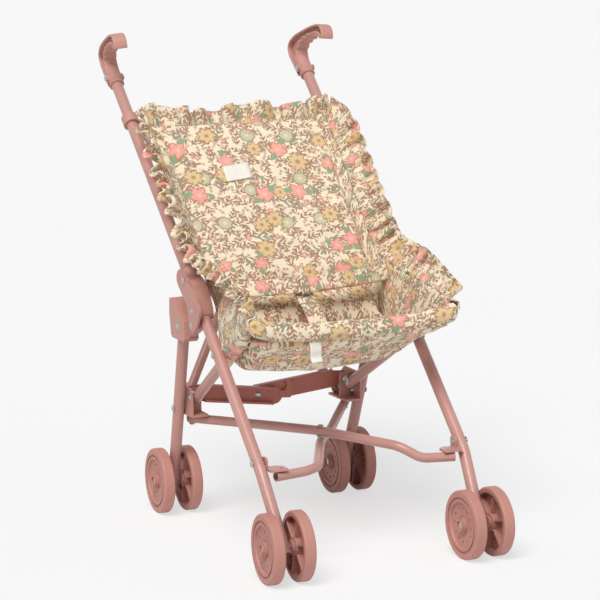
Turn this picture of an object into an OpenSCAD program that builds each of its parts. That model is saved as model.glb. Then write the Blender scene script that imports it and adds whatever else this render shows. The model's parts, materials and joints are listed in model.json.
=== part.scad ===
// Folding doll stroller: two side frames, a back X, a lower X, a lock bar and a soft seat.
// Millimetres, +Z up, the front faces -Y, X = 0 is the middle, the wheels stand on Z = 0.
// Each side is modelled once, for +X, and mirrored to -X.

/* [Stance] */
// Front axle to rear axle
wheelbase = 345; // [335:1:355]
// Between the middles of the front wheel pairs
front_track = 227; // [222:0.5:231]
// Between the middles of the rear wheel pairs
rear_track = 217; // [213:0.5:221]
// Rear axle behind the middle of the footprint
rear_axle_y = 97.5; // [90:0.5:105]

/* [Side frame] */
// Height of the elbow, where push tube and front leg meet
elbow_z = 276; // [270:1:282]
// Elbow in front of the rear axle
elbow_ahead = 114; // [110:1:118]
// Push tube centre at the elbow, from the middle
elbow_half = 119; // [117:0.5:121]
// Height of the handle collar's lower end
collar_z = 484; // [476:1:492]
// Handle collar's lower end behind the rear axle
collar_behind = 124; // [120:1:128]
// How far the push tube leans outwards over its length
push_lean = 2; // [0:0.5:4]
// Height of the bend in the front leg
knee_z = 108; // [104:1:112]
// Bend in the front leg, in front of the rear axle
knee_ahead = 298; // [294:1:302]
// Front leg centre at the bend, from the middle
knee_half = 118; // [117:0.5:119]
// Bend radius of the front leg
knee_radius = 60; // [40:1:80]
// Height of the rear leg's upper end
rear_leg_z = 238; // [234:1:240]
// Rear leg leans forwards by this angle
rear_leg_rake = 20.9; // [20:0.1:21.5]
// Rear leg leans outwards by this angle
rear_leg_splay = 2.6; // [2:0.1:3]

// Lower end of the seat rail from the middle
rail_low_half = 95; // [94:0.5:95.5]

/* [Tubes] */
// Diameter of push tubes and legs
leg_d = 13; // [12.5:0.1:13.5]
// Diameter of the seat rails
rail_d = 12; // [11:0.1:12.2]
// Diameter of the back braces
brace_d = 10.6; // [9.5:0.1:11]
// Diameter of the lower X tubes
low_d = 10.5; // [9.5:0.1:11]
// Wall of every tube
tube_wall = 1.2; // [1:0.1:1.6]

/* [Wheels] */
// Wheel diameter
wheel_d = 75; // [72:0.5:77]
// Width of the tread
tread_w = 13; // [12:0.5:14]
// Middle to middle of the two wheels of a pair
pair_w = 33.4; // [32:0.2:35]
// Toe-out of the front wheels
front_toe = 2; // [0:0.5:3]
// Toe-out of the rear wheels
rear_toe = 0.9; // [0:0.1:2]
// Axle diameter
axle_d = 5; // [4:0.5:6]
// Small holes round the wheel face
face_holes = 12; // [6:1:16]

/* [Handle] */
// Width of the handle across its grip
handle_w = 20; // [19:0.5:22]
// Web between the two side recesses of the grip
handle_web = 4; // [3:0.5:6]
// Turn of the handle about the push tube
handle_turn = 5.4; // [0:0.2:8]

/* [Joints] */
// Rivet shank diameter
rivet_d = 4; // [3.6:0.1:4.4]
// Rivet head diameter
rivet_head_d = 8; // [7:0.5:9]
// Play between pieces that move
gap = 0.3; // [0.2:0.05:0.4]
// Play round a shank, tube or pin in its hole
fit = 0.08; // [0.04:0.01:0.1]
// Thickness of plates and lugs
plate_t = 2.5; // [2.2:0.1:3]
// Flattened ends of the braces
tab_t = 3; // [2.6:0.1:3.4]

/* [Back X and lower X] */
// Brace eyes from the middle
brace_half = 96; // [95:0.5:96.5]
// Height of the lower brace eye
brace_low_z = 128; // [126:1:130]
// Lower brace eye in front of the rear axle
brace_low_ahead = 10; // [8:1:12]
// Height of the upper brace eye
brace_top_z = 431; // [426:1:434]
// Upper brace eye behind the rear axle
brace_top_behind = 112; // [108:1:114]
// Middle of the brace ring along the push tube from the elbow
ring_up = 258; // [256:0.5:260]
// How far the stroller narrows when it folds
fold_narrow = 90; // [80:1:90]
// Lower X pin from the middle
low_half = 95; // [93:0.5:96]
// Height of the lower X at its rear pins
low_z = 114; // [113:0.5:115]
// Rear pins of the lower X in front of the rear axle
low_ahead = 30; // [29.5:0.5:31]

/* [Lock bar] */
// Pivots of the lock bar from the middle
lock_half = 94; // [93:0.5:94.5]
// Height of the pivots
lock_z = 143; // [141:1:145]
// The hinge in the bar lies this far below its pivots
lock_drop = 11; // [9:0.5:13]
// The hinge in the bar from the middle, towards -X
lock_hinge = 12; // [8:1:16]
// Height of the channel
lock_h = 20; // [18:0.5:22]
// Height of the bar round its pivots
lock_eye = 15; // [14:0.5:16]

/* [Seat] */
// Thickness of the padded panels
pad_t = 9; // [7:0.5:11]
// Depth that the backrest falls back over each millimetre of height
back_rake = 0.9; // [0.86:0.01:0.94]
// Height of the backrest's top edge
back_top_z = 444; // [438:1:448]
// Width of the seat between its side wings
seat_w = 202; // [198:1:203]
// Half of the width of the seat's front hem
hem_half = 116; // [112:1:118]
// Thickness of the gathered ruffle at the sides
ruffle_t = 5; // [3:0.5:5]

/* [Hidden] */
SIDES = ["left", "right"];
$fn = 48;
EYE_FN = 32;

ROSE = "#c98f88";
ROSE_DARK = "#bd7f78";
STEEL = "#b9b9b8";
CREAM = "#e6d9bb";
TAN = "#cdb08a";

// A place given from the rear axle, with the height from the floor
function at(x, y, z) = [x, y + rear_axle_y, z];
function unit(v) = v / norm(v);
function between(a, b, t) = a + (b - a) * t;
// The point of a line through a and b at height z
function at_height(a, b, z) = a + (b - a) * ((z - a[2]) / (b[2] - a[2]));
// The point of a line through a and b at depth y
function at_depth(a, b, y) = a + (b - a) * ((y - a[1]) / (b[1] - a[1]));

wheel_r = wheel_d / 2;
leg_lean_max = 6;
hub_out = tread_w / 2 + 2;
hub_d = 14;
// Inner ends of the hubs stand off the leg, which leans against them
hub_in = pair_w / 2 - leg_d / 2 - gap - hub_d / 2 * tan(leg_lean_max);
bend_lap = 0.5;
bend_slim = 0.06;

elbow = at(elbow_half, -elbow_ahead, elbow_z);
collar_end = at(elbow_half + push_lean, collar_behind, collar_z);
push_dir = unit(collar_end - elbow);
knee = at(knee_half, -knee_ahead, knee_z);
front_axle = at(front_track / 2, -wheelbase, wheel_r);
rear_axle = at(rear_track / 2, 0, wheel_r);
leg_dir = unit(knee - elbow);
rear_dir = unit([tan(rear_leg_splay), -tan(rear_leg_rake), 1]);
rear_top = rear_axle + rear_dir * ((rear_leg_z - wheel_r) / rear_dir[2]);

// Rivets through the legs, on lines along X
bracket_rivet = at_height(rear_axle, rear_top, brace_low_z);
strap_rivet = at_height(elbow, knee, knee_z + 8);
rail_cross = between(elbow, knee, 0.37);

// Seat rail: past the inner side of the front leg, down to the rear bracket
rail_x = rail_cross[0] - leg_d / 2 - rail_d / 2 - fit;
rail_low = at(rail_low_half, -45, 139);
rail_mid = [rail_x, rail_cross[1], rail_cross[2]];
rail_dir = unit(rail_mid - rail_low);
rail_len = 262;
rail_top = rail_low + rail_dir * rail_len;
rail_bolt = rail_low + rail_dir * 8;
// Heads on a leaning tube stand this far off it
head_seat = 0.35;
head_h = 1.9;

// Rear bracket
web_x = bracket_rivet[0] - leg_d / 2 - 0.7;
floor_z = low_z + low_d / 2 + gap;
low_dip = 0.8;
low_pin = at(low_half, -low_ahead, low_z);

// Back brace, from its lower eye to its upper eye, open and folded
brace_low = at(brace_half, -brace_low_ahead, brace_low_z);
brace_top = at(brace_half, brace_top_behind, brace_top_z);
brace_open = [2 * brace_half, brace_top[1] - brace_low[1], brace_top[2] - brace_low[2]];
brace_len = norm(brace_open);
folded_x = 2 * brace_half - fold_narrow;
// Travel t of the ring solves |folded brace| = brace_len
along = [0, push_dir[1], push_dir[2]];
half_b = brace_open * along;
ring_travel = -half_b + sqrt(half_b * half_b + pow(2 * brace_half, 2) - pow(folded_x, 2));
brace_fold = [folded_x, brace_open[1], brace_open[2]] + along * ring_travel;
// Axis of the brace whose lower eye is on +X: the normal of its open and folded directions, forwards
brace_turn = unit(cross(brace_open, brace_fold));
brace_axis = [-brace_turn[0], brace_turn[1], brace_turn[2]];
front_shift = tab_t / 2 + brace_d / 2 + 0.4;
rear_shift = tab_t / 2 - brace_d / 2 - 0.2;

// Ring on the push tube
ring_mid = elbow + push_dir * ring_up;
ring_d = leg_d + 6;
ring_h = 12;

// Lower X: the upper tube and the lower tube, from the rear pin to the front end
low_reach = 104;
upper_run = [
    at(low_half + 2, 4 - low_ahead, low_z - low_dip), at(40, -118, low_z + 2.6), at(0, -180, low_z + 4),
    at(-48, -283, low_z + 2), at(-68, -297, low_z - 10.6), at(-low_reach, -304, low_z - 11)
];
lower_run = [
    at(low_half + 2, 4 - low_ahead, low_z - low_dip), at(76, -62, low_z - 1), at(40, -118, low_z - 8.5),
        at(0, -180, low_z - 8.5),
    at(-48, -285, low_z - 10), at(-66, -296, low_z - 10.6), at(-low_reach, -304, low_z - 11)
];
low_bends = [60, 150, 30, 24];
foot_z = low_z - 11 + low_d / 2 + gap + 0.3;
foot_pin = at(low_reach - 7, -302.6, foot_z);

// Lock bar: each half in its own layer
lock_pin = at(lock_half, -24.2, lock_z);
lock_front_y = lock_pin[1] - gap / 2;
lock_back_y = lock_pin[1] + gap / 2;

// ---- Small shapes ----

module on_side(s) {
    mirror([s == "left" ? 1 : 0, 0, 0]) children();
}

// Turns +Z to the direction from a to b and moves to a
module aim(a, b) {
    d = b - a;
    translate(a) rotate([0, acos(d[2] / norm(d)), atan2(d[1], d[0])]) children();
}

module rod(a, b, d) {
    aim(a, b) cylinder(d = d, h = norm(b - a));
}

// A hole or pin along X through a point
module cross_rod(p, d, reach) {
    translate(p) rotate([0, 90, 0]) cylinder(d = d, h = 2 * reach, center = true);
}

// Torus piece at p1, between the runs p0-p1 and p1-p2. It is a hair slimmer than the straights and
// starts and ends just inside them.
module corner(p0, p1, p2, r, d) {
    u = unit(p1 - p0);
    v = unit(p2 - p1);
    turn = acos(u * v);
    lap = bend_lap / r * 180 / PI;
    n = unit(cross(u, v));
    c = p1 + unit(v - u) * r / cos(turn / 2);
    x = unit(p1 - u * r * tan(turn / 2) - c);
    y = cross(n, x);
    multmatrix([[x[0], y[0], n[0], c[0]], [x[1], y[1], n[1], c[1]], [x[2], y[2], n[2], c[2]], [0, 0, 0,
        1]])
        rotate([0, 0, -lap]) rotate_extrude(angle = turn + 2 * lap) translate([r, 0]) circle(d =
            d - bend_slim);
}

function turn_at(p0, p1, p2) = acos(unit(p1 - p0) * unit(p2 - p1));
function tangent_at(run, radii, i) = (i == 0 || i == len(run) - 1)
    ? 0
    : radii[i - 1] * tan(turn_at(run[i - 1], run[i], run[i + 1]) / 2);

// A bar along a run of points, with a bend of its own radius at each inner point
module bent_bar(run, radii, d) {
    for (i = [0 : len(run) - 2]) {
        u = unit(run[i + 1] - run[i]);
        rod(run[i] + u * tangent_at(run, radii, i), run[i + 1] - u * tangent_at(run, radii, i + 1), d);
    }
    for (i = [1 : len(run) - 2]) corner(run[i - 1], run[i], run[i + 1], radii[i - 1], d);
}

module straight_tube(a, b, d) {
    difference() {
        rod(a, b, d);
        rod(a - unit(b - a), b + unit(b - a), d - 2 * tube_wall);
    }
}

// Rivet along +Z from 0 to h between its heads
module rivet(h) {
    translate([0, 0, -0.2]) cylinder(d = rivet_d, h = h + 0.4);
    for (end = [0, 1]) translate([0, 0, end * h]) mirror([0, 0, 1 - end]) rivet_head();
}

module rivet_head() {
    rotate_extrude() intersection() {
        translate([0, -rivet_head_d * 0.42]) circle(d = rivet_head_d * 1.306);
        translate([0, fit]) square([rivet_head_d / 2, 3]);
    }
}

// Rivet along X between two planes
module side_rivet(x0, x1, p) {
    translate([x0, p[1], p[2]]) rotate([0, 90, 0]) rivet(x1 - x0);
}

// An outline in depth and height, extruded across from x0 to x1
module slab(x0, x1, points) {
    translate([x0, 0, 0]) rotate([90, 0, 90]) linear_extrude(height = x1 - x0) polygon(points);
}

module round_plate(w, l, r) {
    for (x = [-1, 1], y = [-1, 1]) translate([x * (w / 2 - r), y * (l / 2 - r)]) circle(r = r);
    square([w - 2 * r, l], center = true);
    square([w, l - 2 * r], center = true);
}

function shifted(points, p) = [for (q = points) [q[0] + p[1], q[1] + p[2]]];

// Points of a smooth closed curve through the given points
function smooth(p, n = 5) = [
    for (i = [0 : len(p) - 1], k = [0 : n - 1])
        let (a = p[(i + len(p) - 1) % len(p)], b = p[i], c = p[(i + 1) % len(p)],
            d = p[(i + 2) % len(p)], t = k / n)
            0.5 * (2 * b + (c - a) * t + (2 * a - 5 * b + 4 * c - d) * t * t
                + (3 * b - a - 3 * c + d) * t * t * t)
];

// ---- Side frame ----

push_end = collar_end + push_dir * 20;
push_start = elbow + push_dir * 2;
leg_start = elbow + leg_dir * 2;
handle_rivet = collar_end + push_dir * 12;

// Elbow: its sleeves, its rivets and the link plate outside it
sleeve_d = leg_d + 5.6;
sleeve_step = 1;
collar_rivet = elbow + push_dir * 14;
link_rivet = elbow + leg_dir * 30;
link_x = elbow[0] + sleeve_d / 2 + fit;
link_pin = elbow + [0, -18, -37];

// Socket of the rear leg
socket_w = 16.4;
socket_mid = rear_top[0] - 0.6;
socket_rivet = rear_top - rear_dir * 10;

module push_tube(s) on_side(s) color(ROSE) difference() {
    straight_tube(push_start, push_end, leg_d);
    cross_rod(collar_rivet, rivet_d + 2 * fit, leg_d);
    cross_rod(handle_rivet, rivet_d + 2 * fit, leg_d);
}

module front_leg(s) on_side(s) color(ROSE) difference() {
    foot = front_axle + unit(front_axle - knee) * 8;
    foot_dir = unit(foot - knee);
    bent_bar([leg_start, knee, foot], [knee_radius], leg_d);
    // Open up to the bend from both ends
    rod(leg_start - leg_dir, knee - leg_dir * leg_d * 2, leg_d - 2 * tube_wall);
    rod(knee + foot_dir * leg_d * 2, foot + foot_dir, leg_d - 2 * tube_wall);
    cross_rod(link_rivet, rivet_d + 2 * fit, leg_d);
    cross_rod(rail_cross, rivet_d + 2 * fit, leg_d);
    cross_rod(strap_rivet, rivet_d + 2 * fit, leg_d);
    front_hub() cylinder(d = axle_d + 2 * fit, h = 40, center = true);
}

module rear_leg(s) on_side(s) color(ROSE) difference() {
    straight_tube(rear_axle - rear_dir * 8, rear_top, leg_d);
    cross_rod(bracket_rivet, rivet_d + 2 * fit, leg_d);
    cross_rod(socket_rivet, rivet_d + 2 * fit, leg_d);
    rear_hub() cylinder(d = axle_d + 2 * fit, h = 40, center = true);
}

// Hubs: +Z outwards along the axle
module front_hub() translate(front_axle) rotate([0, 0, front_toe]) rotate([0, 90, 0]) children();
module rear_hub() translate(rear_axle) rotate([0, 0, rear_toe]) rotate([0, 90, 0]) children();

module seat_rail(s) on_side(s) color(ROSE) difference() {
    straight_tube(rail_low, rail_top, rail_d);
    cross_rod(rail_mid, rivet_d + 2 * fit, rail_d);
    cross_rod(rail_bolt, rivet_d + 2 * fit, rail_d);
}

// Moulded elbow: two sleeves and a swollen cheek between them
module elbow_collar(s) on_side(s) color(ROSE_DARK) difference() {
    cheek = smooth(shifted([[33, 6], [30, 17], [16, 21], [2, 15], [-10, 11], [-22, 2], [-31, -10], [-36,
        -22],
                            [-31, -29], [-18, -25], [4, -16], [20, -5]], elbow), 3);
    union() {
        rod(elbow - push_dir * 6, elbow + push_dir * 26, sleeve_d);
        rod(elbow, elbow + leg_dir * 38, sleeve_d - sleeve_step);
        slab(elbow[0] - sleeve_d / 2 + 1, elbow[0] + sleeve_d / 2 - 0.5, cheek);
    }
    rod(push_start - push_dir * gap, push_end, leg_d + 2 * fit);
    rod(leg_start - leg_dir * gap, elbow + leg_dir * 60, leg_d + 2 * fit);
    for (p = [collar_rivet, link_rivet]) cross_rod(p, rivet_d + 2 * fit, 20);
}

// Flat lozenge outside the elbow, riveted through the front leg and pinned to the socket's lug
module elbow_link(s) on_side(s) color(ROSE) difference() {
    lozenge = smooth(shifted([[-1, 4], [-7, 9], [-18, 6], [-33, -5], [-45, -15], [-42, -26], [-33, -37],
        [-20, -44],
                              [-12, -38], [-7, -24]], elbow), 3);
    slab(link_x, link_x + plate_t, lozenge);
    cross_rod(link_rivet, rivet_d + 2 * fit, 20);
    cross_rod(link_pin, rivet_d + 2 * fit, 20);
}

// Block round the top of the rear leg, with a lug that is pinned to the elbow link
module leg_socket(s) on_side(s) color(ROSE_DARK) difference() {
    top = rear_top + [0, 0, 6];
    union() {
        slab(socket_mid - socket_w / 2, socket_mid + socket_w / 2, shifted(
            [[29, 14], [30, -4], [26, -27], [22, -30], [-14, -30], [-19, -26], [-16, -7], [-11, -4]],
                top));
        slab(elbow[0] - 6, elbow[0] + 1, shifted([[-10, -7], [-54, -1.5], [-58.5, -4], [-56, -7.8],
            [-10, -28]], top));
        translate([elbow[0], link_pin[1], link_pin[2]]) rotate([0, 90, 0]) cylinder(d = 9.4, h =
            link_x - elbow[0] - fit);
    }
    aim(rear_axle, rear_top) rotate([0, 0, 40]) cylinder(d = leg_d + 2 * fit, h =
        norm(rear_top - rear_axle) + gap);
    cross_rod(socket_rivet, rivet_d + 2 * fit, 20);
    cross_rod(link_pin, rivet_d + 2 * fit, 20);
}

// S-shaped strap from the inner side of the front leg to the end of the lower tube
module front_strap(s) on_side(s) color(ROSE) difference() {
    leg_side = strap_rivet[0] - leg_d / 2 - fit;
    union() {
        translate([leg_side - plate_t, strap_rivet[1], (foot_z + strap_rivet[2] + 6) / 2]) rotate([90,
            0, 90])
            linear_extrude(height = plate_t) round_plate(12, strap_rivet[2] + 6 - foot_z, 4);
        translate([foot_pin[0] - 6, foot_pin[1] - 6, foot_z]) cube([leg_side - foot_pin[0] + 6, 20,
            plate_t]);
    }
    cross_rod(strap_rivet, rivet_d + 2 * fit, 20);
    translate(foot_pin) cylinder(d = rivet_d + 2 * fit, h = 20, center = true);
    translate([foot_pin[0] - 10, foot_pin[1] + 6, foot_z - 1]) rotate([0, 0, 38]) cube([16, 16,
        plate_t + 2]);
}

// Channel on the inner side of the rear leg
module rear_bracket(s) on_side(s) color(ROSE_DARK) {
    back_y = rear_axle[1] - 3;
    front_y = rear_axle[1] - 57;
    difference() {
        union() {
            slab(web_x - plate_t, web_x, [[front_y, floor_z], [back_y - 3, floor_z], [back_y,
                floor_z + 3],
                [back_y, floor_z + 27], [back_y - 8, floor_z + 33], [front_y + 4, floor_z + 33],
                    [front_y, floor_z + 29]]);
            translate([low_half - 10, front_y, floor_z]) cube([web_x - low_half + 10,
                back_y - front_y - 3, plate_t]);
            // Cross wall that holds the lock bar's pin
            translate([lock_half - 8, lock_pin[1] - 13, floor_z])
                cube([web_x - lock_half + 8, plate_t, lock_z - floor_z + 7]);
            // Slanted wall behind the brace eye
            brace_place() translate([0, 0, -gap - plate_t]) linear_extrude(height = plate_t) {
                circle(d = 17);
                translate([0, -8.5]) square([web_x - brace_half - 0.5, 17]);
            }
        }
        cross_rod(bracket_rivet, rivet_d + 2 * fit, 20);
        cross_rod(rail_bolt, rivet_d + 2 * fit, 30);
        // Room for the head of the leg's rivet
        translate([web_x - plate_t - 5, bracket_rivet[1], bracket_rivet[2]]) rotate([0, 90, 0])
            cylinder(d = rivet_head_d + 2 * gap, h = 5);
        rod(rail_low - rail_dir * gap, rail_mid, rail_d + 2 * gap);
        translate(low_pin) cylinder(d = rivet_d + 2 * fit, h = 20, center = true);
        translate(lock_pin) rotate([90, 0, 0]) cylinder(d = rivet_d + 2 * fit, h = 30);
        brace_place() cylinder(d = rivet_d + 2 * fit, h = 30, center = true);
        // Nothing under the floor
        translate([0, front_y - 5, floor_z - 20]) cube([200, 60, 20]);
    }
}

// Lower eye of the brace on +X, with +Z along the brace's axis and +X outwards
module brace_place() {
    x = unit([1, 0, 0] - brace_axis * brace_axis[0]);
    y = cross(brace_axis, x);
    multmatrix([[x[0], y[0], brace_axis[0], brace_low[0]], [x[1], y[1], brace_axis[1], brace_low[1]],
                [x[2], y[2], brace_axis[2], brace_low[2]], [0, 0, 0, 1]]) children();
}

// ---- Wheels ----

module wheel_blank() {
    r = 2.5;
    rotate_extrude() {
        translate([0, -tread_w / 2 + r]) square([wheel_r, tread_w - 2 * r]);
        translate([0, -tread_w / 2]) square([wheel_r - r, tread_w]);
        for (z = [-1, 1]) translate([wheel_r - r, z * (tread_w / 2 - r)]) circle(r = r);
        translate([0, -hub_in]) square([hub_d / 2, hub_in + hub_out]);
    }
}

// One-piece moulded wheel, its face towards +Z
module wheel() {
    difference() {
        wheel_blank();
        rotate_extrude() {
            translate([28, tread_w / 2 - 1.4]) square([2.4, 4]);
            polygon([[9, tread_w / 2 + 3], [9, tread_w / 2 - 3.2], [24, tread_w / 2 - 2.2], [26,
                tread_w / 2 + 3]]);
            translate([10, -tread_w / 2 - 1]) square([wheel_r - 16, tread_w - 4.5]);
        }
        cylinder(d = axle_d + 2 * fit, h = 60, center = true);
        translate([0, 0, hub_out - 3]) cylinder(d = 10, h = 10);
        for (i = [0 : face_holes - 1]) rotate([0, 0, i * 360 / face_holes])
            translate([18.5, 0, 0]) cylinder(d = 2.6, h = 20, center = true);
    }
    // Spokes in the hollow inner side
    for (i = [0 : 5]) rotate([0, 0, i * 60 + 15]) translate([8, -0.9, -tread_w / 2 + 1.2])
        cube([wheel_r - 13, 1.8, tread_w - 6.5]);
}

module outer_wheel() translate([0, 0, pair_w / 2]) wheel();
module inner_wheel() mirror([0, 0, 1]) translate([0, 0, pair_w / 2]) wheel();

// Pressed axle: its heads lie in the recesses of the hubs
module axle() {
    seat = pair_w / 2 + hub_out - 3 + gap;
    cylinder(d = axle_d, h = 2 * seat + 1.5, center = true);
    for (z = [-1, 1]) translate([0, 0, z * (seat + 0.7)]) cylinder(d = 8.4, h = 1.4, center = true);
}

// ---- Handle ----

// Outline round the grip, from the collar's lower end, in depth and height
grip = [[18, -4], [30, 2], [45, 13], [58, 24], [64, 33], [61, 41], [49, 49], [29, 57], [5, 63], [-17,
    66], [-40, 66],
        [-53, 63], [-62, 57], [-65, 52], [-63, 47], [-48, 46.5], [-32, 46], [-28, 51], [-24, 56], [-20,
            54],
        [-16, 50.5], [-11, 51.5], [-6, 50], [-2, 45], [3, 44], [7, 40], [8, 34], [6, 27], [1, 22], [-6,
            18],
        [-11, 13], [-17, 4], [-12, 2], [0, -1]];
// Side recess between the outer skin and the inner wall of the grip
recess = [[15, 31], [16, 37], [12, 44.5], [4, 50], [-6, 55], [-16, 58.5], [-28, 60.3], [-16, 61.8], [-4,
    61],
          [10, 57.5], [27, 52.5], [46, 45], [57, 38.5], [59, 33], [52, 25], [42, 19.5], [32, 20], [22,
              25]];

module handle(s) on_side(s) translate(collar_end) rotate_about(push_dir, handle_turn)
    translate(-collar_end)
    color(ROSE) difference() {
        x = collar_end[0];
        slab(x - handle_w / 2, x + handle_w / 2, smooth(shifted(grip, collar_end), 3));
        slab(x + handle_web / 2, x + handle_w, smooth(shifted(recess, collar_end), 2));
        slab(x - handle_w, x - handle_web / 2, smooth(shifted(recess, collar_end), 2));
        rod(collar_end - push_dir * 20, push_end + push_dir * gap, leg_d + 2 * fit);
        rotate_back() cross_rod(handle_rivet, rivet_d + 2 * fit, 20);
    }

module rotate_about(v, a) rotate(a = a, v = v) children();
module rotate_back() translate(collar_end) rotate(a = -handle_turn, v = push_dir)
    translate(-collar_end) children();

// ---- Rivets of one side ----

module side_rivets(s) on_side(s) color(STEEL) {
    side_rivet(collar_rivet[0] - sleeve_d / 2, collar_rivet[0] + sleeve_d / 2, collar_rivet);
    side_rivet(link_rivet[0] - sleeve_d / 2, link_x + plate_t, link_rivet);
    side_rivet(elbow[0] - 6, link_x + plate_t, link_pin);
    side_rivet(socket_mid - socket_w / 2, socket_mid + socket_w / 2, socket_rivet);
    side_rivet(rail_mid[0] - rail_d / 2 - head_seat, rail_cross[0] + leg_d / 2 + head_seat, rail_cross);
    side_rivet(web_x - plate_t, bracket_rivet[0] + leg_d / 2 + head_seat, bracket_rivet);
    side_rivet(strap_rivet[0] - leg_d / 2 - fit - plate_t, strap_rivet[0] + leg_d / 2 + head_seat,
        strap_rivet);
    side_rivet(rail_bolt[0] - rail_d / 2 - head_seat, web_x, rail_bolt);
    side_rivet(handle_rivet[0] - handle_w / 2 - 0.4, handle_rivet[0] + handle_w / 2 + 0.4, handle_rivet);
    // Pin of the lock bar, along Y
    translate([lock_pin[0], lock_pin[1] - 13, lock_pin[2]]) rotate([-90, 0, 0])
        rivet(s == "left" ? 13 - gap / 2 : 13 + gap / 2 + plate_t + gap);
    // Pin of the lower brace eye
    brace_place() translate([0, 0, -gap - plate_t]) rivet(plate_t + tab_t + 2 * gap);
    // Rear pin of the lower X
    translate(low_pin - [0, 0, low_d / 2 + low_dip + gap]) rivet(low_d + low_dip + 2 * gap + plate_t);
}

// ---- Brace ring ----

module brace_ring(s) on_side(s) color(ROSE_DARK) difference() {
    eye = brace_top + brace_axis_top() * (tab_t + gap);
    union() {
        rod(ring_mid - push_dir * ring_h / 2, ring_mid + push_dir * ring_h / 2, ring_d);
        hull() {
            aim(eye, eye + brace_axis_top()) cylinder(d = 15, h = 5, $fn = EYE_FN);
            rod(ring_mid - push_dir * ring_h / 2 + [-2, 3, -3], ring_mid + push_dir * ring_h / 2 + [-2,
                3, -3], 11,
                $fn = EYE_FN);
        }
    }
    rod(ring_mid - push_dir * 40, ring_mid + push_dir * 40, leg_d + 2 * fit);
    aim(eye, eye + brace_axis_top()) cylinder(d = rivet_d + 2 * fit, h = 60, center = true);
}

// At its upper eye a brace of the other side arrives, so its axis is mirrored
function brace_axis_top() = [-brace_axis[0], brace_axis[1], brace_axis[2]];

// ---- Pieces that cross the frame ----

// Brace from the lower eye on its own side to the upper eye on the other
module back_brace(s) on_side(s) color(ROSE) {
    shift = s == "left" ? front_shift : rear_shift;
    x = unit([-brace_open[0], brace_open[1], brace_open[2]]);
    n = brace_axis;
    y = cross(n, x);
    o = brace_low;
    inset = 15;
    multmatrix([[x[0], y[0], n[0], o[0]], [x[1], y[1], n[1], o[1]], [x[2], y[2], n[2], o[2]], [0, 0, 0,
        1]])
        difference() {
            union() {
                translate([inset, 0, shift]) rotate([0, 90, 0]) cylinder(d = brace_d, h =
                    brace_len - 2 * inset);
                for (e = [0, 1]) translate([e * brace_len, 0, 0]) mirror([e, 0, 0]) {
                    cylinder(d = 13, h = tab_t);
                    translate([0, -6.5, 0]) cube([inset + 8, 13, tab_t]);
                }
            }
            translate([inset + 12, 0, shift]) rotate([0, 90, 0])
                cylinder(d = brace_d - 2 * tube_wall, h = brace_len - 2 * inset - 24);
            for (e = [0, 1]) translate([e * brace_len, 0, -5])
                cylinder(d = rivet_d + 2 * fit, h = 20);
            if (s == "left") translate([brace_len / 2, 0, shift]) cylinder(d = rivet_d + 2 * fit, h =
                30, center = true);
        }
}

module lower_tube(s) on_side(s) color(ROSE) difference() {
    run = s == "left" ? upper_run : lower_run;
    radii = s == "left" ? low_bends : [60, 80, 150, 30, 24];
    last = len(run) - 1;
    end_dir = unit(run[last] - run[last - 1]);
    start_dir = unit(run[1] - run[0]);
    bent_bar(run, radii, low_d);
    rod(run[last] - end_dir * 26, run[last] + end_dir, low_d - 2 * tube_wall);
    rod(run[0] - start_dir, run[0] + start_dir * 28, low_d - 2 * tube_wall);
    translate(low_pin) cylinder(d = rivet_d + 2 * fit, h = 30, center = true);
    translate([-foot_pin[0], foot_pin[1], foot_pin[2]]) cylinder(d = rivet_d + 2 * fit, h = 40, center =
        true);
    if (s == "left") translate(run[2]) cylinder(d = rivet_d + 2 * fit, h = 30, center = true);
}

// Middle rivet of the lower X, with the spacer between its tubes
module lower_rivet() color(STEEL) {
    upper = upper_run[2] + [0, 0, low_d / 2 + head_seat];
    spacer_top = upper_run[2][2] - low_d / 2 - head_seat;
    spacer_end = lower_run[3][2] + low_d / 2 + gap;
    translate([0, upper[1], spacer_end]) cylinder(d = rivet_d, h = upper[2] - spacer_end + 0.3);
    translate([0, upper[1], spacer_end]) cylinder(d = rivet_head_d, h = spacer_top - spacer_end);
    translate([0, upper[1], upper[2]]) rivet_head();
}

// Lock bar half on its own side, from its pin to the hinge
module lock_bar(s) on_side(s) color(ROSE_DARK) {
    hinge_x = s == "left" ? lock_hinge : -lock_hinge;
    pin = [lock_pin[0], 0, lock_pin[2]];
    end = [hinge_x, 0, lock_z - lock_drop];
    tilt = atan2(end[2] - pin[2], end[0] - pin[0]);
    l = norm(end - pin);
    over = s == "left" ? 30 : 13;
    // Layer in front for the left half and behind for the right half
    y0 = s == "left" ? lock_front_y : lock_back_y;
    out = s == "left" ? -1 : 1;
    translate([pin[0], y0, pin[2]]) rotate([0, -tilt, 0]) rotate([90, 0, 0]) mirror([0, 0, out > 0 ? 1
        : 0])
        difference() {
            union() {
                linear_extrude(height = plate_t) {
                    circle(d = lock_eye);
                    polygon([[0, -lock_eye / 2], [14, -lock_h / 2], [l + over - lock_h / 2, -lock_h / 2],
                             [l + over - lock_h / 2, lock_h / 2], [14, lock_h / 2], [0, lock_eye / 2]]);
                    translate([l + over - lock_h / 2, 0]) circle(d = lock_h);
                }
                for (z = [-1, 1]) translate([16, z * (lock_h / 2 - plate_t / 2) - plate_t / 2, 0])
                    cube([l + over - 28, plate_t, 9]);
            }
            translate([0, 0, -1]) cylinder(d = rivet_d + 2 * fit, h = 20);
            translate([l, 0, -1]) cylinder(d = rivet_d + 2 * fit, h = 20);
        }
}

// The hinge rivet is in two pieces, one in each half, because the halves part a little on the way
module lock_rivet(end) color(STEEL)
    translate([-lock_hinge, lock_pin[1] + end * (gap / 2 + plate_t), lock_z - lock_drop])
        rotate([-90 * end, 0, 0]) {
            rivet_head();
            translate([0, 0, -plate_t]) cylinder(d = rivet_d, h = plate_t + fit);
        }

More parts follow.
